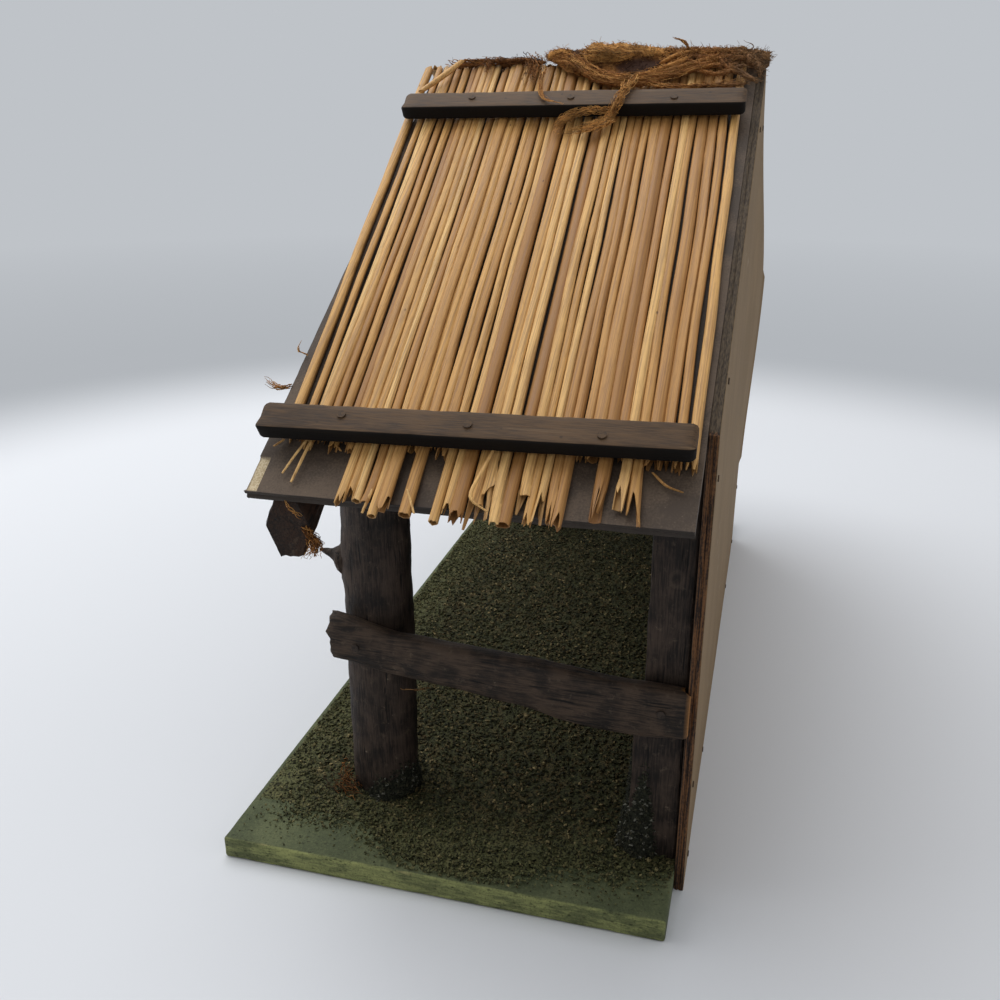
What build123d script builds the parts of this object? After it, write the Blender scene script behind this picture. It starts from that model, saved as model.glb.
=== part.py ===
from build123d import *
from math import asin, atan2, cos, hypot, radians, sin, sqrt, tan
import os

# A gabled nativity stable: boards, logs and straw on a green base board, in millimetres.
# +Z is up, the open front faces -Y, and the ridge runs along Y above the origin.
# The origin is the centre of the base board's underside.
# Each side piece is modelled on the right, at +X, and mirrored to the left.

# Base board, and the green scatter glued on it
base_length = 354.0
base_depth = 150.0
base_thickness = 8.0
base_edge_round = 1.0
scatter_thickness = 1.2
scatter_end_margin = 8.0
scatter_front_margin = 2.0
scatter_clearance = 0.3

# Hardboard back wall, which stands on the floor against the base's back edge
wall_thickness = 3.2
wall_inset = 24.0
wall_height = 156.0
roof_pitch = 32.7

# Hardboard roof boards
roof_thickness = 3.2
eave_overhang = 27.7
roof_setback = 23.0

# Straw stalks, thin and thick ones in turn
straw_diameters = (3.4, 4.2, 2.6, 3.9, 3.0, 4.0, 2.2)
straw_wall = 0.5
straw_gap = 0.15
straw_seat = 0.05
straw_overhang = 5.0
straw_ridge_gap = 1.0
broken_front = 28.0
broken_back = 15.0

# Battens that clamp the straw
batten_width = 10.0
batten_thickness = 5.0
batten_wall_gap = 2.0
batten_edge_round = 0.8
lower_batten_rise = 22.0
upper_batten_drop = 34.0

# Nails and pins
nail_radius = 0.6
nail_head_radius = 1.3
nail_head_thickness = 0.5
nail_clearance = 0.05
batten_nail_inset = 25.0
batten_nail_cover = 0.4
post_nail_depth = 10.0
pin_radius = 0.5
pin_head_radius = 1.0
pin_head_thickness = 0.4
pin_depth = 6.0
pin_inset = 14.0
pin_recess = 0.1

# Front log posts with a branch stub, and flat back posts
front_post_radius = 11.0
front_post_swell = 0.4
front_post_setback = 20.5
post_behind_rafter = 9.0
stub_height = 82.0
stub_radius = 3.0
stub_tip_radius = 0.8
stub_length = 22.0
stub_lean = 60.0
back_post_width = 14.0
back_post_thickness = 9.0
back_post_setback = 4.0
back_post_round = 1.0

# Side rails: split logs with a belly on the lower edge
rail_thickness = 7.0
rail_height = 13.0
rail_level = 66.5
rail_fall = 6.5
rail_belly = 3.5
rail_overhang = 10.0
rail_edge_round = 1.5
rail_seat = 0.1
rail_wall_gap = 0.3

# Timbers under the roof
rafter_width = 14.0
rafter_height = 15.0
rafter_corner = 4.0
rafter_front_gap = 3.0
rafter_end_gap = 2.2
ridge_pole_width = 12.0
ridge_pole_height = 14.0
cleat_size = 8.0

# Dried fibre along the ridge
moss_reach = 20.0
moss_thickness = 5.0
moss_edge = 1.5
moss_length = 86.0
moss_seat = 0.3
moss_round = 1.0

# Heights, slopes and edges that follow from the sizes above
slope_cos = cos(radians(roof_pitch))
slope_sin = sin(radians(roof_pitch))
slope_tan = tan(radians(roof_pitch))
base_half = base_length / 2
wall_inner = base_depth / 2
wall_outer = wall_inner + wall_thickness
wall_half = base_half - wall_inset
ridge_height = wall_height + wall_half * slope_tan
roof_front = roof_setback - base_depth / 2
roof_depth = wall_inner - roof_front
eave_x = wall_half + eave_overhang
eave_s = eave_x / slope_cos
straw_layer = straw_seat + max(straw_diameters)
batten_seat = straw_layer + straw_seat
batten_top = batten_seat + batten_thickness
lower_batten_s = eave_s - lower_batten_rise
upper_batten_s = upper_batten_drop
batten_depth = roof_depth - batten_wall_gap
rafter_front = roof_front + rafter_front_gap
rafter_back = rafter_front + rafter_width
rafter_middle = (rafter_front + rafter_back) / 2
rafter_end = eave_x - rafter_end_gap
front_post_x = wall_half - front_post_setback
front_post_y = rafter_middle + post_behind_rafter
back_post_face = wall_half - back_post_setback
back_post_x = back_post_face - back_post_thickness / 2
back_post_front = wall_inner - back_post_width
back_post_y = wall_inner - back_post_width / 2
cleat_middle = wall_inner - cleat_size / 2


def under_roof(x):
    """Height of the right roof board's underside above a place x."""
    return ridge_height - roof_thickness / slope_cos - x * slope_tan


# Planes on the right slope: s runs down from the ridge, h stands square on the board
down_slope = (slope_cos, 0, -slope_sin)
off_slope = (slope_sin, 0, slope_cos)
ridge_end = (0, wall_inner, ridge_height)
slope_side = Plane(origin=ridge_end, x_dir=down_slope, z_dir=(0, -1, 0))
slope_top = Plane(origin=(0, 0, ridge_height), x_dir=down_slope, z_dir=off_slope)
slope_section = Plane(origin=(0, 0, ridge_height), x_dir=(0, 1, 0), z_dir=down_slope)
roof_underside = slope_top.offset(-roof_thickness)
rafter_underside = roof_underside.offset(-rafter_height)
wall_back = Plane.XZ.offset(-wall_outer)
wall_face = Plane.XZ.offset(-wall_inner)
base_top = Plane.XY.offset(base_thickness)

# Planes that look down or back, on which the second coordinate is counted the other way
post_foot = Plane(origin=(0, 0, base_thickness), x_dir=(1, 0, 0), z_dir=(0, 0, -1))
nail_seat = Plane(origin=(0, 0, nail_head_thickness + pin_recess), x_dir=(1, 0, 0), z_dir=(0, 0, -1))
behind_frame = Plane(origin=(0, wall_inner, 0), x_dir=(1, 0, 0), z_dir=(0, 1, 0))
behind_wall = Plane(origin=(0, wall_outer, 0), x_dir=(1, 0, 0), z_dir=(0, 1, 0))

# The rail's inner face touches the log post and the back post's front corner
post_reach = front_post_radius + front_post_swell + rail_seat
corner_x = back_post_face + rail_seat
to_corner_x = corner_x - front_post_x
to_corner_y = back_post_front - front_post_y
corner_distance = hypot(to_corner_x, to_corner_y)
rail_turn = atan2(to_corner_y, to_corner_x) + asin(post_reach / corner_distance)
rail_span = sqrt(corner_distance**2 - post_reach**2)
rail_inner_face = Plane(
    origin=(corner_x, back_post_front, 0),
    x_dir=(cos(rail_turn), sin(rail_turn), 0),
    z_dir=(sin(rail_turn), -cos(rail_turn), 0),
)
rail_outer_face = rail_inner_face.offset(rail_thickness)
rail_front_end = -rail_span - rail_overhang
rail_back_end = (back_post_width - rail_wall_gap - rail_thickness * abs(cos(rail_turn))) / sin(rail_turn)
rail_length = rail_back_end - rail_front_end

# Where nails and pins go
batten_front_nail = roof_front + batten_nail_inset
batten_back_nail = wall_inner - batten_wall_gap - batten_nail_inset
batten_middle_nail = (batten_front_nail + batten_back_nail) / 2
nail_rows = (batten_front_nail, batten_middle_nail, batten_back_nail)
batten_nail_places = [(s, y) for s in (upper_batten_s, lower_batten_s) for y in nail_rows]
batten_nail_length = batten_top + roof_thickness - batten_nail_cover
rail_nail_front_z = rail_level + rail_height / 2
rail_nail_back_z = rail_nail_front_z - rail_fall * rail_span / rail_length
rail_nail_places = [(-rail_span, rail_nail_front_z), (back_post_width / 2, rail_nail_back_z)]
rail_nail_length = rail_thickness + post_nail_depth
base_nail_places = [(front_post_x, front_post_y), (back_post_x, back_post_y)]
base_nail_length = base_thickness + post_nail_depth
cleat_start = ridge_pole_width / 2
cleat_end = back_post_face - back_post_thickness
roof_pin_length = roof_thickness + pin_depth
rafter_pin_places = [
    (upper_batten_s + pin_inset, rafter_middle),
    (lower_batten_s - pin_inset, rafter_middle),
]
cleat_pin_places = [
    (upper_batten_s + pin_inset, cleat_middle),
    (cleat_end / slope_cos - 2 * pin_inset, cleat_middle),
]
wall_pin_length = wall_thickness + pin_depth
base_pin_places = [(x, base_thickness / 2) for x in (wall_half - pin_inset, wall_half / 2)]
post_pin_places = [
    (back_post_x, base_thickness + 2 * pin_inset),
    (back_post_x, under_roof(back_post_face) - pin_inset),
]
wall_cleat_pin_places = [
    (x, under_roof(x) - cleat_size / slope_cos / 2)
    for x in (cleat_start + pin_inset, cleat_end - pin_inset)
]
wall_pin_places = base_pin_places + post_pin_places + wall_cleat_pin_places


def drill(plane, places, radius, depth):
    """Cuts straight holes, square to a plane, in the piece being built."""
    with Locations(plane):
        with Locations(*places):
            Hole(radius + nail_clearance, depth)


def drive(plane, places, radius, length, head_radius, head_thickness):
    """Adds nails, square to a plane, with their heads standing on it."""
    with Locations(plane):
        with Locations(*places):
            Cylinder(radius, length, align=(Align.CENTER, Align.CENTER, Align.MAX))
            Cylinder(head_radius, head_thickness, align=(Align.CENTER, Align.CENTER, Align.MIN))


def both_sides(places):
    """The places given for the right side, and their mirror places."""
    return places + [(-x, other) for x, other in places]


def flipped(places):
    """The same places on a plane that looks down or back."""
    return [(x, -other) for x, other in places]


def straw_bays():
    """Front and back limits of the stretches of straw between the batten nails."""
    room = nail_radius + nail_clearance + straw_gap
    fronts = [roof_front] + [y + room for y in nail_rows]
    backs = [y - room for y in nail_rows] + [wall_inner - batten_wall_gap]
    return list(zip(fronts, backs))


def straw_row():
    """Places and radii of the stalks, laid side by side in each bay."""
    row = []
    for front, back in straw_bays():
        edge = front
        while edge + straw_diameters[len(row) % len(straw_diameters)] <= back:
            radius = straw_diameters[len(row) % len(straw_diameters)] / 2
            row.append((edge + radius, radius))
            edge += 2 * radius + straw_gap
    return row


# Base board
with BuildPart() as base_board:
    with BuildSketch(Plane.XY):
        Rectangle(base_length, base_depth)
    extrude(amount=base_thickness)
    fillet(base_board.edges().group_by(Axis.Z)[-1], radius=base_edge_round)
    drill(base_top, both_sides(base_nail_places), nail_radius, base_thickness)
    head_depth = nail_head_thickness + pin_recess
    drill(Plane.XY.offset(head_depth), both_sides(base_nail_places), nail_head_radius, head_depth)
    drill(behind_frame, flipped(both_sides(base_pin_places)), pin_radius, pin_depth + nail_clearance)

# Green scatter: a thin layer round the posts' feet
with BuildPart() as green_scatter:
    with BuildSketch(base_top):
        scatter_front = scatter_front_margin - base_depth / 2
        scatter_back = wall_inner - scatter_clearance
        with Locations((0, (scatter_front + scatter_back) / 2)):
            Rectangle(base_length - 2 * scatter_end_margin, scatter_back - scatter_front)
        with Locations(*both_sides([(front_post_x, front_post_y)])):
            Circle(front_post_radius + front_post_swell + scatter_clearance, mode=Mode.SUBTRACT)
        with Locations(*both_sides([(back_post_x, back_post_y)])):
            Rectangle(back_post_thickness + 2 * scatter_clearance,
                      back_post_width + 2 * scatter_clearance, mode=Mode.SUBTRACT)
    extrude(amount=scatter_thickness)

# Back wall: one gable-shaped sheet
with BuildPart() as back_wall:
    with BuildSketch(wall_back):
        with BuildLine():
            Polyline((-wall_half, 0), (wall_half, 0), (wall_half, wall_height), (0, ridge_height),
                     (-wall_half, wall_height), close=True)
        make_face()
    extrude(amount=wall_thickness)
    drill(wall_face, both_sides(wall_pin_places), pin_radius, None)

# Roof board, cut plumb where the two meet at the ridge
with BuildPart() as roof_board_right:
    with BuildSketch(slope_side):
        with BuildLine():
            Polyline((0, 0), (eave_s, 0), (eave_s, -roof_thickness),
                     (roof_thickness * slope_tan, -roof_thickness), close=True)
        make_face()
    extrude(amount=roof_depth)
    drill(slope_top, batten_nail_places, nail_radius, roof_thickness)
    drill(slope_top, rafter_pin_places + cleat_pin_places, pin_radius, roof_thickness)

# Straw stalks: hollow, and broken off under the lower batten near both ends of the row
with BuildPart() as roof_straws_right:
    whole_end = eave_s + straw_overhang
    broken_end = lower_batten_s + batten_width / 2
    for straw_y, straw_radius in straw_row():
        is_broken = straw_y < roof_front + broken_front or straw_y > wall_inner - broken_back
        straw_end = broken_end if is_broken else whole_end
        with BuildSketch(slope_section.offset(straw_ridge_gap)):
            with Locations((straw_y, straw_seat + straw_radius)):
                Circle(straw_radius)
                Circle(straw_radius - straw_wall, mode=Mode.SUBTRACT)
        extrude(amount=straw_end - straw_ridge_gap)

# Battens over the straw, with a hole for each nail
with BuildPart() as upper_batten_right:
    with BuildSketch(slope_side.offset(batten_wall_gap)):
        with Locations((upper_batten_s, batten_seat + batten_thickness / 2)):
            Rectangle(batten_width, batten_thickness)
    extrude(amount=batten_depth)
    fillet(upper_batten_right.edges().filter_by(Axis.Y), radius=batten_edge_round)
    drill(slope_top.offset(batten_top), batten_nail_places[:3], nail_radius, batten_thickness)

with BuildPart() as lower_batten_right:
    with BuildSketch(slope_side.offset(batten_wall_gap)):
        with Locations((lower_batten_s, batten_seat + batten_thickness / 2)):
            Rectangle(batten_width, batten_thickness)
    extrude(amount=batten_depth)
    fillet(lower_batten_right.edges().filter_by(Axis.Y), radius=batten_edge_round)
    drill(slope_top.offset(batten_top), batten_nail_places[3:], nail_radius, batten_thickness)

# Front rafter: a faceted log under the roof's front edge, plumb at both ends
with BuildPart() as front_rafter_right:
    with BuildSketch(slope_section):
        rafter_bottom = -roof_thickness - rafter_height
        rafter_waist = -roof_thickness - rafter_height / 2
        front_facet = rafter_front + rafter_corner
        back_facet = rafter_back - rafter_corner
        with BuildLine():
            Polyline((front_facet, -roof_thickness), (back_facet, -roof_thickness),
                     (rafter_back, rafter_waist), (back_facet, rafter_bottom),
                     (front_facet, rafter_bottom), (rafter_front, rafter_waist), close=True)
        make_face()
    extrude(amount=(rafter_end - rafter_bottom * slope_sin) / slope_cos)
    split(bisect_by=Plane.YZ, keep=Keep.TOP)
    split(bisect_by=Plane.YZ.offset(rafter_end), keep=Keep.BOTTOM)
    drill(roof_underside, rafter_pin_places, pin_radius, pin_depth + nail_clearance)

# Front log post: it swells a little towards the rafter that it carries
with BuildPart() as front_post_right:
    with BuildSketch(base_top):
        with Locations((front_post_x, front_post_y)):
            Circle(front_post_radius)
    with BuildSketch(Plane.XY.offset(ridge_height)):
        with Locations((front_post_x, front_post_y)):
            Circle(front_post_radius + front_post_swell)
    loft()
    split(bisect_by=rafter_underside, keep=Keep.BOTTOM)
    with Locations(Location((front_post_x, front_post_y, base_thickness + stub_height), (stub_lean, 0, 0))):
        Cone(stub_radius, stub_tip_radius, stub_length, align=(Align.CENTER, Align.CENTER, Align.MIN))
    drill(post_foot, flipped(base_nail_places[:1]), nail_radius, post_nail_depth + nail_clearance)
    drill(rail_inner_face, rail_nail_places[:1], nail_radius, post_nail_depth + nail_clearance)

# Back post: a flat lath against the wall, cut to the slope
with BuildPart() as back_post_right:
    with BuildSketch(base_top):
        with Locations((back_post_x, back_post_y)):
            Rectangle(back_post_thickness, back_post_width)
    extrude(amount=ridge_height)
    fillet(back_post_right.edges().filter_by(Axis.Z), radius=back_post_round)
    split(bisect_by=roof_underside, keep=Keep.BOTTOM)
    drill(post_foot, flipped(base_nail_places[1:]), nail_radius, post_nail_depth + nail_clearance)
    drill(rail_inner_face, rail_nail_places[1:], nail_radius, post_nail_depth + nail_clearance)
    drill(behind_frame, flipped(post_pin_places), pin_radius, pin_depth + nail_clearance)

# Side rail: straight on top, with a belly towards its back end
with BuildPart() as rail_right:
    with BuildSketch(rail_inner_face):
        rail_back_level = rail_level - rail_fall
        belly_place = rail_back_end - back_post_width - rail_overhang
        belly_level = rail_back_level - rail_belly
        with BuildLine():
            lower_edge = Spline((rail_front_end, rail_level),
                                (rail_front_end + rail_length / 2, (rail_level + rail_back_level) / 2),
                                (belly_place, belly_level), (rail_back_end, rail_back_level))
            Polyline(lower_edge @ 0, (rail_front_end, rail_level + rail_height),
                     (rail_back_end, rail_back_level + rail_height), lower_edge @ 1)
        make_face()
    extrude(amount=rail_thickness)
    fillet(rail_right.faces().sort_by(Axis.X)[-1].edges().sort_by(Axis.Z)[-1], radius=rail_edge_round)
    drill(rail_outer_face, rail_nail_places, nail_radius, None)

# Cleat: a strip along the wall that the roof board's back edge is pinned to
with BuildPart() as wall_cleat_right:
    with BuildSketch(wall_face):
        cleat_drop = cleat_size / slope_cos
        with BuildLine():
            Polyline((cleat_start, under_roof(cleat_start)), (cleat_end, under_roof(cleat_end)),
                     (cleat_end, under_roof(cleat_end) - cleat_drop),
                     (cleat_start, under_roof(cleat_start) - cleat_drop), close=True)
        make_face()
    extrude(amount=cleat_size)
    drill(roof_underside, cleat_pin_places, pin_radius, pin_depth + nail_clearance)
    drill(behind_frame, flipped(wall_cleat_pin_places), pin_radius, pin_depth + nail_clearance)

# Ridge pole: fills the corner under the ridge, from the rafters to the wall
with BuildPart() as ridge_pole:
    with BuildSketch(wall_face):
        pole_side = ridge_pole_width / 2
        pole_bottom = under_roof(0) - ridge_pole_height
        with BuildLine():
            Polyline((0, under_roof(0)), (pole_side, under_roof(pole_side)), (pole_side, pole_bottom),
                     (-pole_side, pole_bottom), (-pole_side, under_roof(pole_side)), close=True)
        make_face()
    extrude(amount=wall_inner - rafter_back)

# Dried fibre: a soft cap over the straw ends, over the back part of the ridge
with BuildPart() as ridge_moss:
    with BuildSketch(wall_back):
        moss_floor = straw_layer + moss_seat
        moss_crown = ridge_height + moss_floor / slope_cos
        inner_x = moss_reach * slope_cos + moss_floor * slope_sin
        inner_z = ridge_height - moss_reach * slope_sin + moss_floor * slope_cos
        outer_x = inner_x + moss_edge * slope_sin
        outer_z = inner_z + moss_edge * slope_cos
        with BuildLine():
            ThreePointArc((outer_x, outer_z), (0, moss_crown + moss_thickness), (-outer_x, outer_z))
            Polyline((-outer_x, outer_z), (-inner_x, inner_z), (0, moss_crown), (inner_x, inner_z),
                     (outer_x, outer_z))
        make_face()
    extrude(amount=moss_length)
    fillet(ridge_moss.faces().sort_by(Axis.Z)[-1].edges().filter_by(GeomType.CIRCLE), radius=moss_round)

# Fasteners, each kind in one group
with BuildPart() as batten_nails:
    drive(slope_top.offset(batten_top), batten_nail_places, nail_radius, batten_nail_length,
          nail_head_radius, nail_head_thickness)
    mirror(about=Plane.YZ)

with BuildPart() as rail_nails:
    drive(rail_outer_face, rail_nail_places, nail_radius, rail_nail_length,
          nail_head_radius, nail_head_thickness)
    mirror(about=Plane.YZ)

with BuildPart() as base_nails:
    drive(nail_seat, flipped(base_nail_places), nail_radius,
          base_nail_length - nail_head_thickness - pin_recess, nail_head_radius, nail_head_thickness)
    mirror(about=Plane.YZ)

with BuildPart() as wall_pins:
    drive(behind_wall, flipped(wall_pin_places), pin_radius, wall_pin_length,
          pin_head_radius, pin_head_thickness)
    mirror(about=Plane.YZ)

with BuildPart() as roof_pins:
    with Locations(slope_top.offset(-pin_recess)):
        with Locations(*(rafter_pin_places + cleat_pin_places)):
            Cylinder(pin_radius, roof_pin_length - pin_recess,
                     align=(Align.CENTER, Align.CENTER, Align.MAX))
    mirror(about=Plane.YZ)

# Every piece is written under its node name, with the left side's pieces mirrored from the right
single_pieces = {
    "base_board": base_board,
    "green_scatter": green_scatter,
    "back_wall": back_wall,
    "ridge_pole": ridge_pole,
    "ridge_moss": ridge_moss,
    "batten_nails": batten_nails,
    "rail_nails": rail_nails,
    "base_nails": base_nails,
    "wall_pins": wall_pins,
    "roof_pins": roof_pins,
}
right_pieces = {
    "roof_board": roof_board_right,
    "roof_straws": roof_straws_right,
    "upper_batten": upper_batten_right,
    "lower_batten": lower_batten_right,
    "front_rafter": front_rafter_right,
    "front_post": front_post_right,
    "back_post": back_post_right,
    "rail": rail_right,
    "wall_cleat": wall_cleat_right,
}

os.makedirs("parts", exist_ok=True)
for name, piece in single_pieces.items():
    piece.part.label = name
    export_step(piece.part, f"parts/{name}.step")
for name, piece in right_pieces.items():
    piece.part.label = f"{name}_right"
    export_step(piece.part, f"parts/{name}_right.step")
    with BuildPart() as left_piece:
        mirror(piece.part, about=Plane.YZ)
    left_piece.part.label = f"{name}_left"
    export_step(left_piece.part, f"parts/{name}_left.step")
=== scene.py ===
"""Looks of a gabled nativity stable: boards, logs and straw on a green base board.

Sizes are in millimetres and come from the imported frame. +X is the stable's right end, -Y its open
front and +Z up. Every piece is a plain mesh at the origin, with its place in its points.
"""

import logging
import math
import random
from collections.abc import Callable, Sequence
from dataclasses import dataclass
from enum import Enum
from functools import cache, partialmethod
from typing import ClassVar

import bmesh
import bpy
from bpy.types import Material, Mesh, Object
from mathutils import Matrix, Vector, noise


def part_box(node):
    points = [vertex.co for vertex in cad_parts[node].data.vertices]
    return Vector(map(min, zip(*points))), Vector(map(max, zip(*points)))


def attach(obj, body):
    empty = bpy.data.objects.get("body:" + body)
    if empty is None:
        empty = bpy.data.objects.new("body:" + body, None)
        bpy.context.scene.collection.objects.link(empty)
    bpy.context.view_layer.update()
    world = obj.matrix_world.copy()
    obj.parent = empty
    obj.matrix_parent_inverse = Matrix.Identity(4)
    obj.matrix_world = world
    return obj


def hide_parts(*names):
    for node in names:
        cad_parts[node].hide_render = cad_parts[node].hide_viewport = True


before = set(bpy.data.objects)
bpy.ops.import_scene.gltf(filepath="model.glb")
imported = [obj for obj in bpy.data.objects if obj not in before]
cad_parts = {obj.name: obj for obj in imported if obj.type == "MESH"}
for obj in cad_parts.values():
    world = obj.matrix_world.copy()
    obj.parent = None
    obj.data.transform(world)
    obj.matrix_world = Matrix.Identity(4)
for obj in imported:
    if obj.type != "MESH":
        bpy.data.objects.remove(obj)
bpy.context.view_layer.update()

MM = 0.001
BODY = "root"
ROOF_PITCH = math.radians(32.7)
PITCH_COS = math.cos(ROOF_PITCH)
PITCH_SIN = math.sin(ROOF_PITCH)
PITCH_TAN = math.tan(ROOF_PITCH)
STRAW_LAYER = 4.3

Colour = tuple[float, ...]
Knots = tuple[tuple[float, float], ...]
Route = tuple[tuple[float, float, float], ...]
Spot = tuple[Vector, *tuple[float, ...]]
log = logging.getLogger("stable")


class Side(Enum):
    """An end of the stable, with the sign of its X."""

    RIGHT = 1
    LEFT = -1

    def node(self, stem: str) -> str:
        """The name of this side's node."""
        return f"{stem}_{self.name.lower()}"


class StrawEnd(Enum):
    """How the lower end of a stalk looks."""

    CUT = "cut"
    TORN = "torn"
    SPLIT = "split"


def srgb(*screen: float) -> Colour:
    """A screen colour from 0 to 255 as linear light."""
    return (*[c / 255 / 12.92 if c <= 10.3 else ((c / 255 + 0.055) / 1.055) ** 2.4 for c in screen], 1.0)


@cache
def box_mm(node: str) -> tuple[Vector, Vector]:
    """The lowest and highest corner of a CAD node, in millimetres."""
    low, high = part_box(node)
    return low / MM, high / MM


def blend(low: float, high: float, share: float) -> float:
    """A value between two others."""
    return low + (high - low) * share


def smooth(low: float, high: float, value: float) -> float:
    """A soft step of a value, from 0 at low to 1 at high."""
    share = min(max((value - low) / (high - low), 0.0), 1.0)
    return share * share * (3 - 2 * share)


def bumps(point: Vector, size: float, seed: float) -> float:
    """Smooth noise from about -1 to 1, with features of a size in millimetres."""
    return noise.noise(point / size + Vector((seed * 17.3, seed * 5.1, seed * 9.7)))


def even(count: int) -> list[float]:
    """Even places from 0 to 1."""
    return [k / count for k in range(count + 1)]


def around(count: int) -> list[float]:
    """Even angles round a circle."""
    return [math.tau * k / count for k in range(count)]


def profile(knots: Knots, place: float) -> float:
    """A height on a line through knots.

    Args:
        knots: Place and height of each, in order.
        place: The place asked for.

    Returns:
        The height there, level beyond the last knot.
    """
    for (start, low), (end, high) in zip(knots, knots[1:]):
        if place <= end:
            return blend(low, high, max(0.0, (place - start) / (end - start)))
    return knots[-1][1]


def spaced(length: float, step: float, margin: float) -> list[float]:
    """Places along an edge, closer together near its two ends.

    Args:
        length: The edge's length.
        step: The spacing away from the ends.
        margin: The stretch at each end that gets closer places.

    Returns:
        Places from 0 to the length.
    """
    room = length - 2 * margin
    inner = [margin + room * share for share in even(max(1, round(room / step)))]
    return [0.0, 0.35 * margin, *inner, length - 0.35 * margin, length]


def rounded_rectangle(width: float, height: float, radius: float, step: float) -> Knots:
    """A rectangle with round corners, centred on the origin.

    Args:
        width: Its width.
        height: Its height.
        radius: The corner radius.
        step: The longest side between two points.

    Returns:
        The outline's points, in order.
    """
    corners = []
    for quarter, (across, up) in enumerate([(1, 1), (-1, 1), (-1, -1), (1, -1)]):
        for part in range(4):
            angle = math.pi / 2 * (quarter + part / 3)
            corners.append((across * (width / 2 - radius) + radius * math.cos(angle),
                            up * (height / 2 - radius) + radius * math.sin(angle)))
    outline = []
    for start, end in zip(corners, corners[1:] + corners[:1]):
        parts = max(1, math.ceil(math.dist(start, end) / step))
        outline += [tuple(blend(a, b, part / parts) for a, b in zip(start, end)) for part in range(parts)]
    return tuple(outline)


def curve_through(points: Sequence[Vector], count: int) -> list[Vector]:
    """Even places on a smooth curve through points.

    Args:
        points: The points, two or more.
        count: How many places to give.

    Returns:
        The places, from the first point to the last.
    """
    padded = [2 * points[0] - points[1], *points, 2 * points[-1] - points[-2]]
    places = []
    for k in range(count):
        along = (len(points) - 1) * k / (count - 1)
        first = min(int(along), len(points) - 2)
        t = along - first
        a, b, c, d = padded[first:first + 4]
        places.append(0.5 * (2 * b + (c - a) * t + (2 * a - 5 * b + 4 * c - d) * t ** 2
                             + (3 * b - a - 3 * c + d) * t ** 3))
    return places


class Wire:
    """A node's output that takes part in Python arithmetic."""

    def __init__(self, sheet: "NodeSheet", socket: bpy.types.NodeSocket) -> None:
        """Keeps the tree and the output."""
        self.sheet = sheet
        self.socket = socket

    def math(self, operation: str, other: "Wire | float" = 0.0, swapped: bool = False) -> "Wire":
        """A Math node on this value and another, which comes first where they are swapped."""
        values = {0: other, 1: self} if swapped else {0: self, 1: other}
        return self.sheet.node("ShaderNodeMath", {"operation": operation}, values)

    __add__ = __radd__ = partialmethod(math, "ADD")
    __mul__ = __rmul__ = partialmethod(math, "MULTIPLY")
    __sub__ = partialmethod(math, "SUBTRACT")
    __rsub__ = partialmethod(math, "SUBTRACT", swapped=True)
    __pow__ = partialmethod(math, "POWER")
    __abs__ = partialmethod(math, "ABSOLUTE")


class NodeSheet:
    """A shader or geometry tree under construction."""

    def __init__(self, tree: bpy.types.NodeTree) -> None:
        """Keeps the tree."""
        self.tree = tree

    def node(self, kind: str, settings: dict | None = None, inputs: dict | None = None,
             output: int | str = 0) -> Wire:
        """Adds a node.

        Args:
            kind: The node's type.
            settings: Its settings, or the stops of a colour ramp.
            inputs: Values or wires for its sockets, by name or number.
            output: The output that is wanted.

        Returns:
            That output.
        """
        made = self.tree.nodes.new(kind)
        for name, value in (settings or {}).items():
            if name == "stops":
                self.set_stops(made.color_ramp.elements, value)
            else:
                setattr(made, name, value)
        for key, value in (inputs or {}).items():
            if isinstance(value, Wire):
                self.tree.links.new(value.socket, made.inputs[key])
            else:
                made.inputs[key].default_value = value
        return Wire(self, made.outputs[output] if made.outputs else None)

    @staticmethod
    def set_stops(elements: bpy.types.ColorRampElements, stops: Sequence[tuple[float, Colour]]) -> None:
        """Writes a ramp's stops.

        Args:
            elements: The ramp's elements, two when it is new.
            stops: Place and colour of each, two or more.
        """
        for _ in stops[2:]:
            elements.new(1.0)
        for element, (place, colour) in zip(elements, stops):
            element.position = place
            element.color = colour

    def vector(self, operation: str, first: Wire, second: Wire | float | Sequence[float]) -> Wire:
        """A Vector Math node on two values."""
        return self.node("ShaderNodeVectorMath", {"operation": operation},
                         {0: first, "Scale" if operation == "SCALE" else 1: second})


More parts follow.
